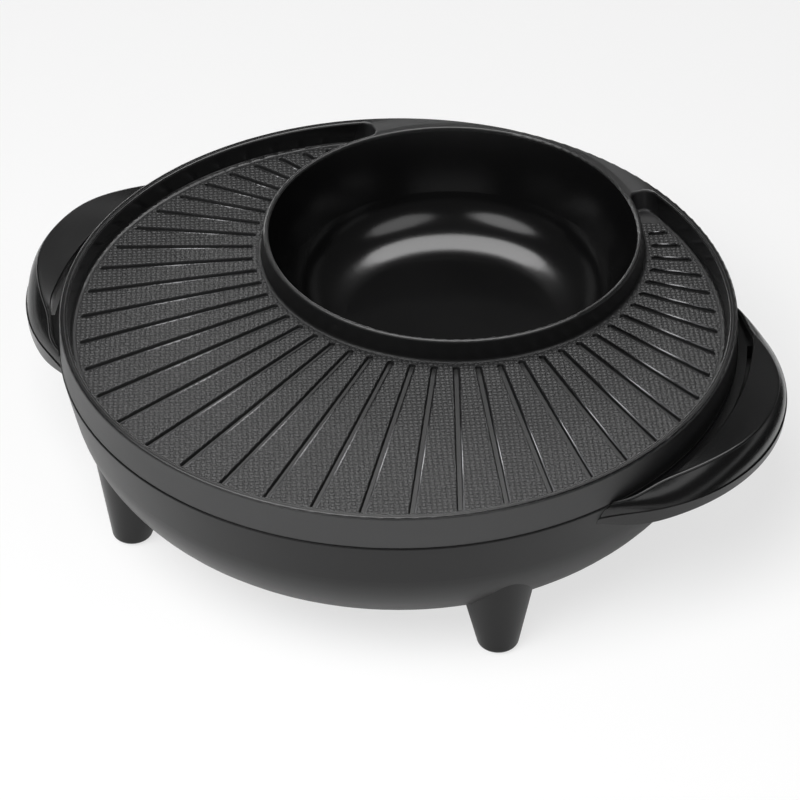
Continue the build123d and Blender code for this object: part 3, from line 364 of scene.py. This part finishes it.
def mesh_of(name, bm):
    """Makes a mesh of a bmesh and frees the bmesh."""
    mesh = bpy.data.meshes.new(name)
    bm.to_mesh(mesh)
    bm.free()
    return mesh


def new_piece(name, bm, finish, body):
    """Makes a piece of a bmesh, at the origin, on a body of the frame."""
    mesh = mesh_of(name, bm)
    mesh.materials.append(finish.material)
    piece = bpy.data.objects.new(name, mesh)
    bpy.context.scene.collection.objects.link(piece)
    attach(piece, body)


def ring_piece(bm, radii, levels, start, sweep, steps):
    """A ring, or a closed part of one, about the pan's axis with an upright oblong section."""
    size = (radii[1] - radii[0], levels[1] - levels[0], 1.0)
    middle = (sum(radii) / 2, 0.0, sum(levels) / 2)
    place = Matrix.Rotation(start, 4, "Z") @ Matrix.Translation(middle) @ Matrix.Rotation(
        math.pi / 2, 4, "X") @ Matrix.Diagonal((*size, 1.0))
    bmesh.ops.create_grid(bm, x_segments=1, y_segments=1, size=0.5, matrix=place)
    bmesh.ops.delete(bm, geom=list(bm.faces), context="FACES_ONLY")
    bmesh.ops.spin(
        bm, geom=list(bm.edges), cent=(0, 0, 0), axis=(0, 0, 1), angle=sweep, steps=steps,
        use_merge=sweep > math.pi)
    bmesh.ops.remove_doubles(bm, verts=bm.verts, dist=RING_WELD)
    bmesh.ops.holes_fill(bm, edges=bm.edges, sides=4)
    bmesh.ops.recalc_face_normals(bm, faces=bm.faces)


def pan_coat(name, colours):
    """The pan's coat: satin plate and skirt, painted shade in the grooves, and a black coat as
    painted shade on the collar, the rim and in the pot, which is glossy.
    """
    coat = Finish(name, colours.plate, 0.45, ior=1.63)
    flat = (1, 1, 0)
    from_pot = coat.distance(coat.moved(location=(0.0, -POT_OFFSET, 0.0), scale=flat))
    from_pan = coat.distance(coat.moved(scale=flat))
    height = coat.node("ShaderNodeSeparateXYZ", {"Vector": coat.place}).outputs["Z"]
    # The rim's wall and crown, which take the black coat of painted shade
    on_wall = coat.times(
        coat.after(from_pan, WALL_FOOT), coat.before(from_pan, WALL_HEAD),
        coat.after(height, WALL_START), coat.after(from_pot, LAND_EDGE))
    on_crown = coat.times(
        coat.after(from_pan, WALL_HEAD), coat.before(from_pan, RIM_EDGE),
        coat.after(height, CROWN_START), coat.after(from_pot, LAND_EDGE))
    on_rim = reckon(coat.tree, "MAXIMUM", on_wall, on_crown)
    on_plate = coat.times(coat.after(from_pot, COLLAR_EDGE), coat.before(on_rim, (0.0, 1.0)))
    in_pot = coat.before(from_pot, POT_EDGE)
    # Mask of the groove beds, which carry painted shade below
    in_groove = coat.times(
        on_plate, coat.before(from_pan, GROOVE_BORDER),
        coat.after(height, GROOVE_BED), coat.before(height, GROOVE_BRIM))
    speckle = coat.noise(900.0, 4.0, 0.6)
    cloud = coat.noise(16.0, 3.0, 0.5)
    plate = coat.mottled(speckle, colours.plate, 0.75, 1.25)
    # Painted shade: the groove beds get a darker copy of the plate's colour
    dark = coat.mottled(speckle, colours.plate, 0.25, 0.45)
    # Painted shade: the pot, the collar and the rim get a black copy of the coat, darker than the
    # plate's
    black = coat.mottled(speckle, colours.pot, 0.7, 1.3)
    coat.colour(coat.blend(on_plate, black, coat.blend(in_groove, plate, dark)))
    satin = coat.uneven(cloud, 0.43, 0.49)
    smooth = coat.uneven(cloud, 0.34, 0.40)
    edge = coat.uneven(cloud, 0.22, 0.28)
    gloss = coat.uneven(cloud, 0.15, 0.18)
    on_top = coat.mix(in_groove, satin, smooth)
    on_black = coat.mix(on_rim, coat.mix(in_pot, smooth, gloss), edge)
    coat.roughness(coat.mix(on_plate, on_black, on_top))
    coat.relief((cloud, 0.0002), (speckle, 0.000012))
    return coat


def moulded(name, colour, low, high, ripple, grain, ior=1.5):
    """Moulded plastic: a slow ripple from the tool and a fine grain."""
    finish = Finish(name, colour, (low + high) / 2, ior=ior)
    slow = finish.noise(28.0, 2.0, 0.4)
    fine = finish.noise(1400.0, 3.0, 0.6)
    cloud = finish.noise(9.0, 3.0, 0.5)
    finish.colour(finish.mottled(fine, colour, 0.85, 1.15))
    finish.roughness(finish.uneven(cloud, low, high))
    finish.relief((slow, ripple), (fine, grain))
    return finish


def metal(name, colour, low, high, scale, stretch=(1, 1, 1)):
    """Bare or plated metal with streaks or patches of a given scale."""
    finish = Finish(name, colour, (low + high) / 2, metallic=1.0)
    streak = finish.noise(scale, 5.0, 0.6, finish.moved(scale=stretch))
    finish.colour(finish.mottled(streak, colour, 0.82, 1.12))
    finish.roughness(finish.uneven(streak, low, high))
    finish.relief((streak, METAL_RELIEF))
    return finish


class GRILL_OT_pan(bpy.types.Operator):
    """Coats the cooking pan: satin plate and skirt, painted shade in the grooves, a black coat of
    painted shade on the rim and in the pot, glossy in the pot
    """

    bl_idname = "grill.pan"
    bl_label = "Coat the pan"

    def execute(self, context):
        dress(pan_coat("Pan_coat", context.scene.grill_colours), "cooking_pan")
        return {"FINISHED"}


class GRILL_OT_weave(bpy.types.Operator):
    """Embosses the grill plate with a plain weave between the drain grooves"""

    bl_idname = "grill.weave"
    bl_label = "Emboss the plate"

    def from_pot(self, sizes, point):
        return point.xy - Vector((0.0, sizes.pot_offset))

    def groove_angle(self, sizes, point):
        """Angle of the nearest groove, or None past the last one and beyond a groove's ends."""
        arm = self.from_pot(sizes, point)
        nearest = round(math.atan2(arm.x, -arm.y) / sizes.groove_step)
        if abs(nearest) > sizes.groove_count:
            return None
        if arm.length < sizes.groove_start or point.xy.length > sizes.groove_end:
            return None
        return nearest * sizes.groove_step

    def side_offset(self, sizes, point, angle):
        """Distance of a point from a groove's middle line, with the way across it."""
        across = Vector((math.cos(angle), math.sin(angle)))
        return self.from_pot(sizes, point).dot(across), across

    def on_plate(self, sizes, point):
        arm = self.from_pot(sizes, point)
        widest = (sizes.groove_count + STEPS_PAST_LAST_GROOVE) * sizes.groove_step
        if abs(math.atan2(arm.x, -arm.y)) > widest:
            return False
        return point.xy.length < sizes.outer and arm.length > sizes.inner

    def keeps(self, sizes, face):
        """Whether enough of a thread lies on the plate, outside the grooves."""
        corners = [v.co for v in face.verts]
        if sum(self.on_plate(sizes, corner) for corner in corners) < 2:
            return False
        middle = face.calc_center_median()
        angle = self.groove_angle(sizes, middle)
        if angle is None:
            return True
        side = math.copysign(1.0, self.side_offset(sizes, middle, angle)[0])
        clear = [self.side_offset(sizes, c, angle)[0] * side - sizes.groove_half for c in corners]
        return max(clear) > LEAST_THREAD

    def trim(self, sizes, face, middle):
        """Moves a thread's corners out of the grooves and off the plate's borders."""
        angle = self.groove_angle(sizes, middle)
        if angle is not None:
            side = math.copysign(1.0, self.side_offset(sizes, middle, angle)[0])
            for vert in face.verts:
                offset, across = self.side_offset(sizes, vert.co, angle)
                if offset * side < sizes.groove_half:
                    shift = (sizes.groove_half * side - offset) * across
                    vert.co += Vector((shift.x, shift.y, 0.0))
        pot = Vector((0.0, sizes.pot_offset, 0.0))
        for vert in face.verts:
            arm = vert.co - pot
            if arm.xy.length < sizes.inner:
                vert.co = pot + arm * (sizes.inner / arm.xy.length)
            if vert.co.xy.length > sizes.outer:
                vert.co *= sizes.outer / vert.co.xy.length

    def stretch(self, thread, shares, rise):
        """Scales a thread's face along and across its run, and lifts it."""
        face, along, across = thread
        middle = face.calc_center_median()
        for vert in face.verts:
            arm = vert.co - middle
            run = along * arm.dot(along) * shares[0]
            vert.co = middle + run + across * arm.dot(across) * shares[1]
            vert.co.z += rise

    def execute(self, context):
        sizes = context.scene.grill_sizes
        pitch = sizes.pitch
        cells = 2 * math.ceil(sizes.outer / pitch) + 2
        bm = bmesh.new()
        bmesh.ops.create_grid(bm, x_segments=cells, y_segments=cells, size=cells * pitch / 2)
        over = bm.faces.layers.int.new("over")
        for face in bm.faces:
            middle = face.calc_center_median()
            face[over] = (math.floor(middle.x / pitch) + math.floor(middle.y / pitch)) % 2
        turned = Matrix.Rotation(sizes.turn, 3, "Z")
        bmesh.ops.rotate(bm, cent=(0, 0, 0), matrix=turned, verts=bm.verts)
        off = [f for f in bm.faces if not self.keeps(sizes, f)]
        bmesh.ops.delete(bm, geom=off, context="FACES")
        if not bm.faces:
            raise RuntimeError("the weave has no thread on the plate")
        bmesh.ops.split_edges(bm, edges=bm.edges)
        threads = []
        for face in bm.faces:
            middle = face.calc_center_median()
            along = turned @ (Vector((1, 0, 0)) if face[over] else Vector((0, 1, 0)))
            thread = (face, along, Vector((-along.y, along.x, 0)))
            self.stretch(thread, THREAD_FOOT, 0.0)
            self.trim(sizes, face, middle)
            threads.append(thread)
        feet = bmesh.ops.duplicate(bm, geom=[t[0] for t in threads])["geom"]
        under = [g for g in feet if isinstance(g, bmesh.types.BMFace)]
        bmesh.ops.reverse_faces(bm, faces=under)
        for shares, rise in (
                (THREAD_SHOULDER, sizes.sink + sizes.height * SHOULDER_RISE),
                (THREAD_CROWN, sizes.height * CROWN_RISE)):
            lifted = bmesh.ops.extrude_discrete_faces(bm, faces=[t[0] for t in threads])["faces"]
            threads = [(f, t[1], t[2]) for f, t in zip(lifted, threads)]
            for thread in threads:
                self.stretch(thread, shares, rise)
        bmesh.ops.remove_doubles(bm, verts=bm.verts, dist=THREAD_WELD)
        bmesh.ops.recalc_face_normals(bm, faces=bm.faces)
        bmesh.ops.translate(bm, vec=(0, 0, sizes.floor - sizes.sink), verts=bm.verts)
        for face in bm.faces:
            face.smooth = True
        coat = pan_coat("Weave_coat", context.scene.grill_colours)
        new_piece("grill_weave", bm, coat, "pan")
        return {"FINISHED"}


class GRILL_OT_lips(bpy.types.Operator):
    """Lays a rounded lip along one edge of each drain groove"""

    bl_idname = "grill.lips"
    bl_label = "Round the grooves"

    def lip(self, bm, sizes, straight):
        """A round rod along one side of a groove that runs from the origin along X."""
        level = sizes.floor + sizes.lip_rise - sizes.lip_radius
        place = Matrix.Translation((straight / 2, sizes.groove_half, level)) @ Matrix.Rotation(
            math.pi / 2, 4, "Y")
        return bmesh.ops.create_cone(
            bm, cap_ends=True, segments=LIP_SEGMENTS, radius1=sizes.lip_radius,
            radius2=sizes.lip_radius, depth=straight, matrix=place)["verts"]

    def execute(self, context):
        sizes = context.scene.grill_sizes
        start = sizes.groove_start + sizes.groove_half
        bm = bmesh.new()
        for index in range(-sizes.groove_count, sizes.groove_count + 1):
            turn = index * sizes.groove_step
            reach = sizes.pot_offset * math.cos(turn) + math.sqrt(
                sizes.groove_end ** 2 - (sizes.pot_offset * math.sin(turn)) ** 2)
            made = self.lip(bm, sizes, reach - start - sizes.groove_half)
            place = Matrix.Translation((0, sizes.pot_offset, 0)) @ Matrix.Rotation(
                turn - math.pi / 2, 4, "Z") @ Matrix.Translation((start, 0, 0))
            bmesh.ops.transform(bm, matrix=place, verts=made)
        bmesh.ops.recalc_face_normals(bm, faces=bm.faces)
        for face in bm.faces:
            face.smooth = len(face.verts) == 4
        rubbed = metal("Lip_metal", context.scene.grill_colours.lip, 0.26, 0.36, 240.0)
        new_piece("groove_lips", bm, rubbed, "pan")
        return {"FINISHED"}


class GRILL_OT_shell(bpy.types.Operator):
    """Finishes the base shell and the seat ring, whose edge shows in the seam; the rubber's grey
    is lighter as painted light in the seam's shade
    """

    bl_idname = "grill.shell"
    bl_label = "Finish the shell"

    def execute(self, context):
        colour = context.scene.grill_colours.shell
        dress(moulded("Bowl_plastic", colour, 0.33, 0.39, 0.00006, 0.000004, 1.35), "base_shell")
        # Painted light: the seat ring's rubber is its own dark grey, made lighter against the
        # shade in the seam; the pits are its own grain
        rubber = Finish("Ring_rubber", (0.05, 0.05, 0.05), 0.62, ior=1.45)
        pits = rubber.noise(700.0, 4.0, 0.6)
        rubber.colour(rubber.blend(pits, (0.038, 0.038, 0.038), (0.065, 0.065, 0.065)))
        rubber.roughness(rubber.uneven(rubber.noise(60.0), 0.55, 0.70))
        rubber.relief((pits, 0.00004))
        dress(rubber, "seat_ring")
        radii = (SEAM_RADIUS - SEAM_DEPTH, SEAM_RADIUS)
        bm = bmesh.new()
        ring_piece(bm, radii, SEAM_LEVELS, 0.0, 2 * math.pi, SEAM_STEPS)
        new_piece("seat_ring_edge", bm, rubber, "base")
        return {"FINISHED"}


class GRILL_OT_handles(bpy.types.Operator):
    """Finishes the two handles and closes the right one's slot with a web"""

    bl_idname = "grill.handles"
    bl_label = "Finish the handles"

    def execute(self, context):
        colour = context.scene.grill_colours.handle
        dress(moulded("Handle_plastic", colour, 0.20, 0.26, 0.00005, 0.000004),
              "handle_left", "handle_right")
        bm = bmesh.new()
        ring_piece(bm, SLOT_SIDES, WEB_LEVELS, -SLOT_HALF, 2 * SLOT_HALF, WEB_STEPS)
        web = moulded("Web_plastic", colour, 0.40, 0.50, 0.00005, 0.000004)
        new_piece("handle_right_web", bm, web, "base")
        return {"FINISHED"}


class GRILL_OT_feet(bpy.types.Operator):
    """Finishes the feet and their rubber pads"""

    bl_idname = "grill.feet"
    bl_label = "Finish the feet"

    def execute(self, context):
        colour = context.scene.grill_colours.foot
        dress(moulded("Foot_plastic", colour, 0.30, 0.38, 0.00006, 0.00002, 1.36),
              "foot_front_left", "foot_front_right", "foot_rear_left", "foot_rear_right")
        rubber = Finish("Pad_rubber", (0.02, 0.02, 0.02), 0.75, ior=1.45)
        dust = rubber.noise(500.0, 5.0, 0.65)
        rubber.colour(rubber.blend(dust, (0.014, 0.014, 0.014), (0.030, 0.029, 0.028)))
        rubber.roughness(rubber.uneven(dust, 0.68, 0.85))
        rubber.relief((dust, 0.00008))
        dress(rubber, "foot_pads")
        return {"FINISHED"}


class GRILL_OT_heater(bpy.types.Operator):
    """Finishes the reflector, the heating elements and what carries them"""

    bl_idname = "grill.heater"
    bl_label = "Finish the heater"

    def sheet(self, colour):
        """Rolled sheet with straw-coloured stains from the heat."""
        sheet = Finish("Reflector_sheet", colour, 0.25, metallic=1.0)
        rolled = sheet.noise(40.0, 6.0, 0.65, sheet.moved(scale=(1.0, 30.0, 1.0)))
        stain = sheet.noise(14.0, 4.0, 0.55)
        bright = sheet.mottled(rolled, colour, 0.88, 1.08)
        stained = sheet.span(stain, 0.52, 0.75, 0.0, 0.6)
        sheet.colour(sheet.blend(stained, bright, (0.50, 0.44, 0.34)))
        sheet.roughness(sheet.uneven(rolled, 0.20, 0.34))
        sheet.relief((rolled, 0.00002), (stain, 0.0004))
        return sheet

    def tube(self, colour):
        """Sheathed tube, tinted straw and then blue where it was hottest."""
        tube = Finish("Tube_sheath", colour, 0.42, metallic=0.9)
        oxide = tube.noise(55.0, 5.0, 0.6)
        heat = tube.noise(9.0, 2.0, 0.5)
        grey = tube.mottled(oxide, colour, 0.6, 1.3)
        straw = tube.blend(tube.span(heat, 0.45, 0.6, 0.0, 0.7), grey, (0.20, 0.13, 0.07))
        hottest = tube.span(heat, 0.58, 0.72, 0.0, 0.55)
        tube.colour(tube.blend(hottest, straw, (0.07, 0.08, 0.15)))
        tube.roughness(tube.uneven(oxide, 0.34, 0.52))
        tube.relief((oxide, 0.00004))
        return tube

    def ceramic(self, colour):
        ceramic = Finish("Steatite", colour, 0.55, ior=1.55)
        body = ceramic.noise(320.0, 4.0, 0.6)
        ceramic.colour(ceramic.mottled(body, colour, 0.86, 1.06))
        ceramic.roughness(ceramic.uneven(body, 0.48, 0.62))
        ceramic.relief((body, 0.00005))
        return ceramic

    def execute(self, context):
        colours = context.scene.grill_colours
        dress(self.sheet(colours.sheet),
              "heat_reflector", "grill_element_clips", "pot_element_clips", "fuse_strap")
        dress(self.tube(colours.tube), "grill_element", "pot_element")
        dress(self.ceramic(colours.ceramic), "reflector_spacers", "element_bushes")
        return {"FINISHED"}


class GRILL_OT_wiring(bpy.types.Operator):
    """Finishes the leads, the sleeves, the thermostat and the fuse"""

    bl_idname = "grill.wiring"
    bl_label = "Finish the wiring"

    def insulation(self, node, name, colour, low, high):
        finish = Finish(name, colour, (low + high) / 2, ior=1.48)
        patches = finish.noise(180.0, 4.0, 0.55)
        finish.colour(finish.mottled(patches, colour, 0.8, 1.18))
        finish.roughness(finish.uneven(patches, low, high))
        finish.relief((patches, 0.00003))
        dress(finish, node)

    def execute(self, context):
        self.insulation("line_leads", "Line_insulation", (0.20, 0.07, 0.03), 0.36, 0.50)
        self.insulation("neutral_leads", "Neutral_insulation", (0.05, 0.12, 0.40), 0.36, 0.50)
        self.insulation("earth_lead", "Earth_insulation", (0.30, 0.50, 0.06), 0.36, 0.50)
        self.insulation("terminal_sleeves", "Sleeve", (0.80, 0.80, 0.78), 0.40, 0.55)
        self.insulation("thermostat", "Thermostat_body", (0.12, 0.07, 0.04), 0.30, 0.45)
        dress(metal("Fuse_case", (0.70, 0.70, 0.70), 0.16, 0.28, 90.0), "thermal_fuse")
        return {"FINISHED"}


class GRILL_OT_inlet(bpy.types.Operator):
    """Finishes the mains inlet and its pins"""

    bl_idname = "grill.inlet"
    bl_label = "Finish the inlet"

    def execute(self, context):
        dress(moulded("Inlet_plastic", (0.018, 0.018, 0.018), 0.36, 0.46, 0.00003, 0.000012),
              "inlet_socket")
        dress(metal("Pin_plate", (0.75, 0.70, 0.55), 0.20, 0.32, 400.0, (1.0, 8.0, 8.0)),
              "inlet_pins")
        return {"FINISHED"}


class GRILL_OT_screws(bpy.types.Operator):
    """Finishes the screws and the terminals"""

    bl_idname = "grill.screws"
    bl_label = "Finish the screws"

    def execute(self, context):
        zinc = metal("Zinc_plate", (0.55, 0.55, 0.55), 0.24, 0.40, 260.0)
        dress(zinc, "reflector_screws", "tray_screws", "earth_screw", "inlet_screws",
              "handle_screws", "foot_screws", "element_terminals")
        return {"FINISHED"}


class GRILL_OT_stage(bpy.types.Operator):
    """Sets the floor, the softboxes, the white room and the camera"""

    bl_idname = "grill.stage"
    bl_label = "Set the stage"

    def room(self, scene, surround):
        """A room that is white at the horizon and dim above, so dark gloss stays dark."""
        world = bpy.data.worlds.new("White_room")
        world.use_nodes = True
        tree = world.node_tree
        back = tree.nodes["Background"]
        back.inputs["Color"].default_value = WHITE
        place = add_node(tree, "ShaderNodeTexCoord").outputs["Generated"]
        height = add_node(tree, "ShaderNodeSeparateXYZ", {"Vector": place}).outputs["Z"]
        level = add_node(tree, "ShaderNodeMapRange", {
            "Value": height, "From Min": HORIZON[0], "From Max": HORIZON[1],
            "To Min": 1.0, "To Max": surround}, interpolation_type="SMOOTHSTEP")
        tree.links.new(level.outputs["Result"], back.inputs["Strength"])
        scene.world = world

    def plain(self, name, grey):
        """A plain matt material for the studio."""
        material = bpy.data.materials.new(name)
        material.use_nodes = True
        shader = material.node_tree.nodes["Principled BSDF"]
        shader.inputs["Base Color"].default_value = (grey, grey, grey, 1)
        shader.inputs["Roughness"].default_value = STUDIO_ROUGHNESS
        return material, shader

    def floor(self, scene):
        """White paper that glows for the camera, less so in gloss, and keeps the shadow."""
        bm = bmesh.new()
        bmesh.ops.create_grid(bm, x_segments=FLOOR_CELLS, y_segments=FLOOR_CELLS, size=FLOOR_HALF)
        mesh = mesh_of("studio_floor", bm)
        paper, shader = self.plain("White_paper", 0.95)
        shader.inputs["Specular IOR Level"].default_value = 0.0
        tree = paper.node_tree
        rays = add_node(tree, "ShaderNodeLightPath").outputs
        mirrored = reckon(tree, "MAXIMUM", rays["Is Glossy Ray"], rays["Is Transmission Ray"])
        dimmed = reckon(tree, "MULTIPLY", mirrored, GLOSS_SHARE)
        seen = reckon(tree, "MAXIMUM", rays["Is Camera Ray"], dimmed)
        share = add_node(tree, "ShaderNodeMapRange", {"Value": seen, "To Max": FLOOR_GLOW})
        glow = add_node(tree, "ShaderNodeEmission", {"Color": WHITE})
        mixed = add_node(tree, "ShaderNodeMixShader", {
            0: share.outputs["Result"], 1: shader.outputs[0], 2: glow.outputs[0]})
        tree.links.new(mixed.outputs[0], tree.nodes["Material Output"].inputs["Surface"])
        mesh.materials.append(paper)
        floor = bpy.data.objects.new("studio_floor", mesh)
        scene.collection.objects.link(floor)

    def card(self, scene, turn):
        """A black card on the floor at the right, which shows only in gloss."""
        bm = bmesh.new()
        bmesh.ops.create_grid(bm, x_segments=CARD_CELLS, y_segments=CARD_CELLS, size=0.5)
        bmesh.ops.scale(bm, vec=CARD_SIZE, verts=bm.verts)
        bmesh.ops.translate(bm, vec=CARD_PLACE, verts=bm.verts)
        turned = Matrix.Rotation(turn, 3, "Z")
        bmesh.ops.rotate(bm, cent=(0, 0, 0), matrix=turned, verts=bm.verts)
        mesh = mesh_of("studio_card", bm)
        mesh.materials.append(self.plain("Black_card", 0.01)[0])
        card = bpy.data.objects.new("studio_card", mesh)
        card.visible_camera = False
        card.visible_diffuse = False
        card.visible_shadow = False
        scene.collection.objects.link(card)

    def softbox(self, scene, name, power, direction, distance, size, turn):
        """An oval lamp that faces the object, with its direction turned to the camera's side."""
        lamp = bpy.data.lights.new(name, "AREA")
        lamp.energy = power
        lamp.shape = "ELLIPSE"
        lamp.size, lamp.size_y = size
        box = bpy.data.objects.new(name, lamp)
        side = Vector((math.cos(turn), math.sin(turn), 0))
        ahead = Vector((-math.sin(turn), math.cos(turn), 0))
        up = Vector((0, 0, direction[2]))
        to_box = (side * direction[0] + ahead * direction[1] + up).normalized()
        box.location = Vector(LAMP_AIM) + to_box * distance
        box.rotation_euler = to_box.to_track_quat("Z", "Y").to_euler()
        box.visible_camera = False
        scene.collection.objects.link(box)
        return box

    def camera(self, scene, stage):
        lens = bpy.data.cameras.new("Camera")
        lens.lens = stage.lens
        lens.sensor_width = SENSOR_WIDTH
        camera = bpy.data.objects.new("Camera", lens)
        camera.location = stage.camera_place
        camera.rotation_euler = stage.camera_turn
        scene.collection.objects.link(camera)
        scene.camera = camera

    def execute(self, context):
        scene = context.scene
        stage = scene.grill_stage
        scene.view_settings.view_transform = "Standard"
        self.room(scene, stage.surround)
        self.floor(scene)
        turn = stage.camera_turn[2]
        self.card(scene, turn)
        for name, setting, direction, distance, size, missed_by in SOFTBOXES:
            power = getattr(stage, setting)
            box = self.softbox(scene, name, power, direction, distance, size, turn)
            if missed_by:
                setattr(box, missed_by, False)
        self.camera(scene, stage)
        return {"FINISHED"}


STEPS = (
    GRILL_OT_pan, GRILL_OT_weave, GRILL_OT_lips, GRILL_OT_shell, GRILL_OT_handles, GRILL_OT_feet,
    GRILL_OT_heater, GRILL_OT_wiring, GRILL_OT_inlet, GRILL_OT_screws, GRILL_OT_stage)
GROUPS = (GrillPlateSizes, GrillFinishColours, GrillStageSettings)


class GRILL_PT_sidebar(bpy.types.Panel):
    """Lists the grill's steps and their settings"""

    bl_idname = "GRILL_PT_sidebar"
    bl_label = "Grill and hot pot"
    bl_space_type = "VIEW_3D"
    bl_region_type = "UI"
    bl_category = "Grill"

    def draw(self, context):
        layout = self.layout
        for step in STEPS:
            layout.operator(step.bl_idname)
        scene = context.scene
        for group in (scene.grill_sizes, scene.grill_colours, scene.grill_stage):
            box = layout.box()
            for name in group.__annotations__:
                box.prop(group, name)


def register():
    for group in GROUPS + STEPS + (GRILL_PT_sidebar,):
        bpy.utils.register_class(group)
    bpy.types.Scene.grill_sizes = PointerProperty(type=GrillPlateSizes)
    bpy.types.Scene.grill_colours = PointerProperty(type=GrillFinishColours)
    bpy.types.Scene.grill_stage = PointerProperty(type=GrillStageSettings)


def unregister():
    del bpy.types.Scene.grill_stage
    del bpy.types.Scene.grill_colours
    del bpy.types.Scene.grill_sizes
    for group in reversed(GROUPS + STEPS + (GRILL_PT_sidebar,)):
        bpy.utils.unregister_class(group)


def main():
    register()
    bpy.ops.grill.pan()
    bpy.ops.grill.weave()
    bpy.ops.grill.lips()
    bpy.ops.grill.shell()
    bpy.ops.grill.handles()
    bpy.ops.grill.feet()
    bpy.ops.grill.heater()
    bpy.ops.grill.wiring()
    bpy.ops.grill.inlet()
    bpy.ops.grill.screws()
    bpy.ops.grill.stage()


if __name__ == "__main__":
    main()
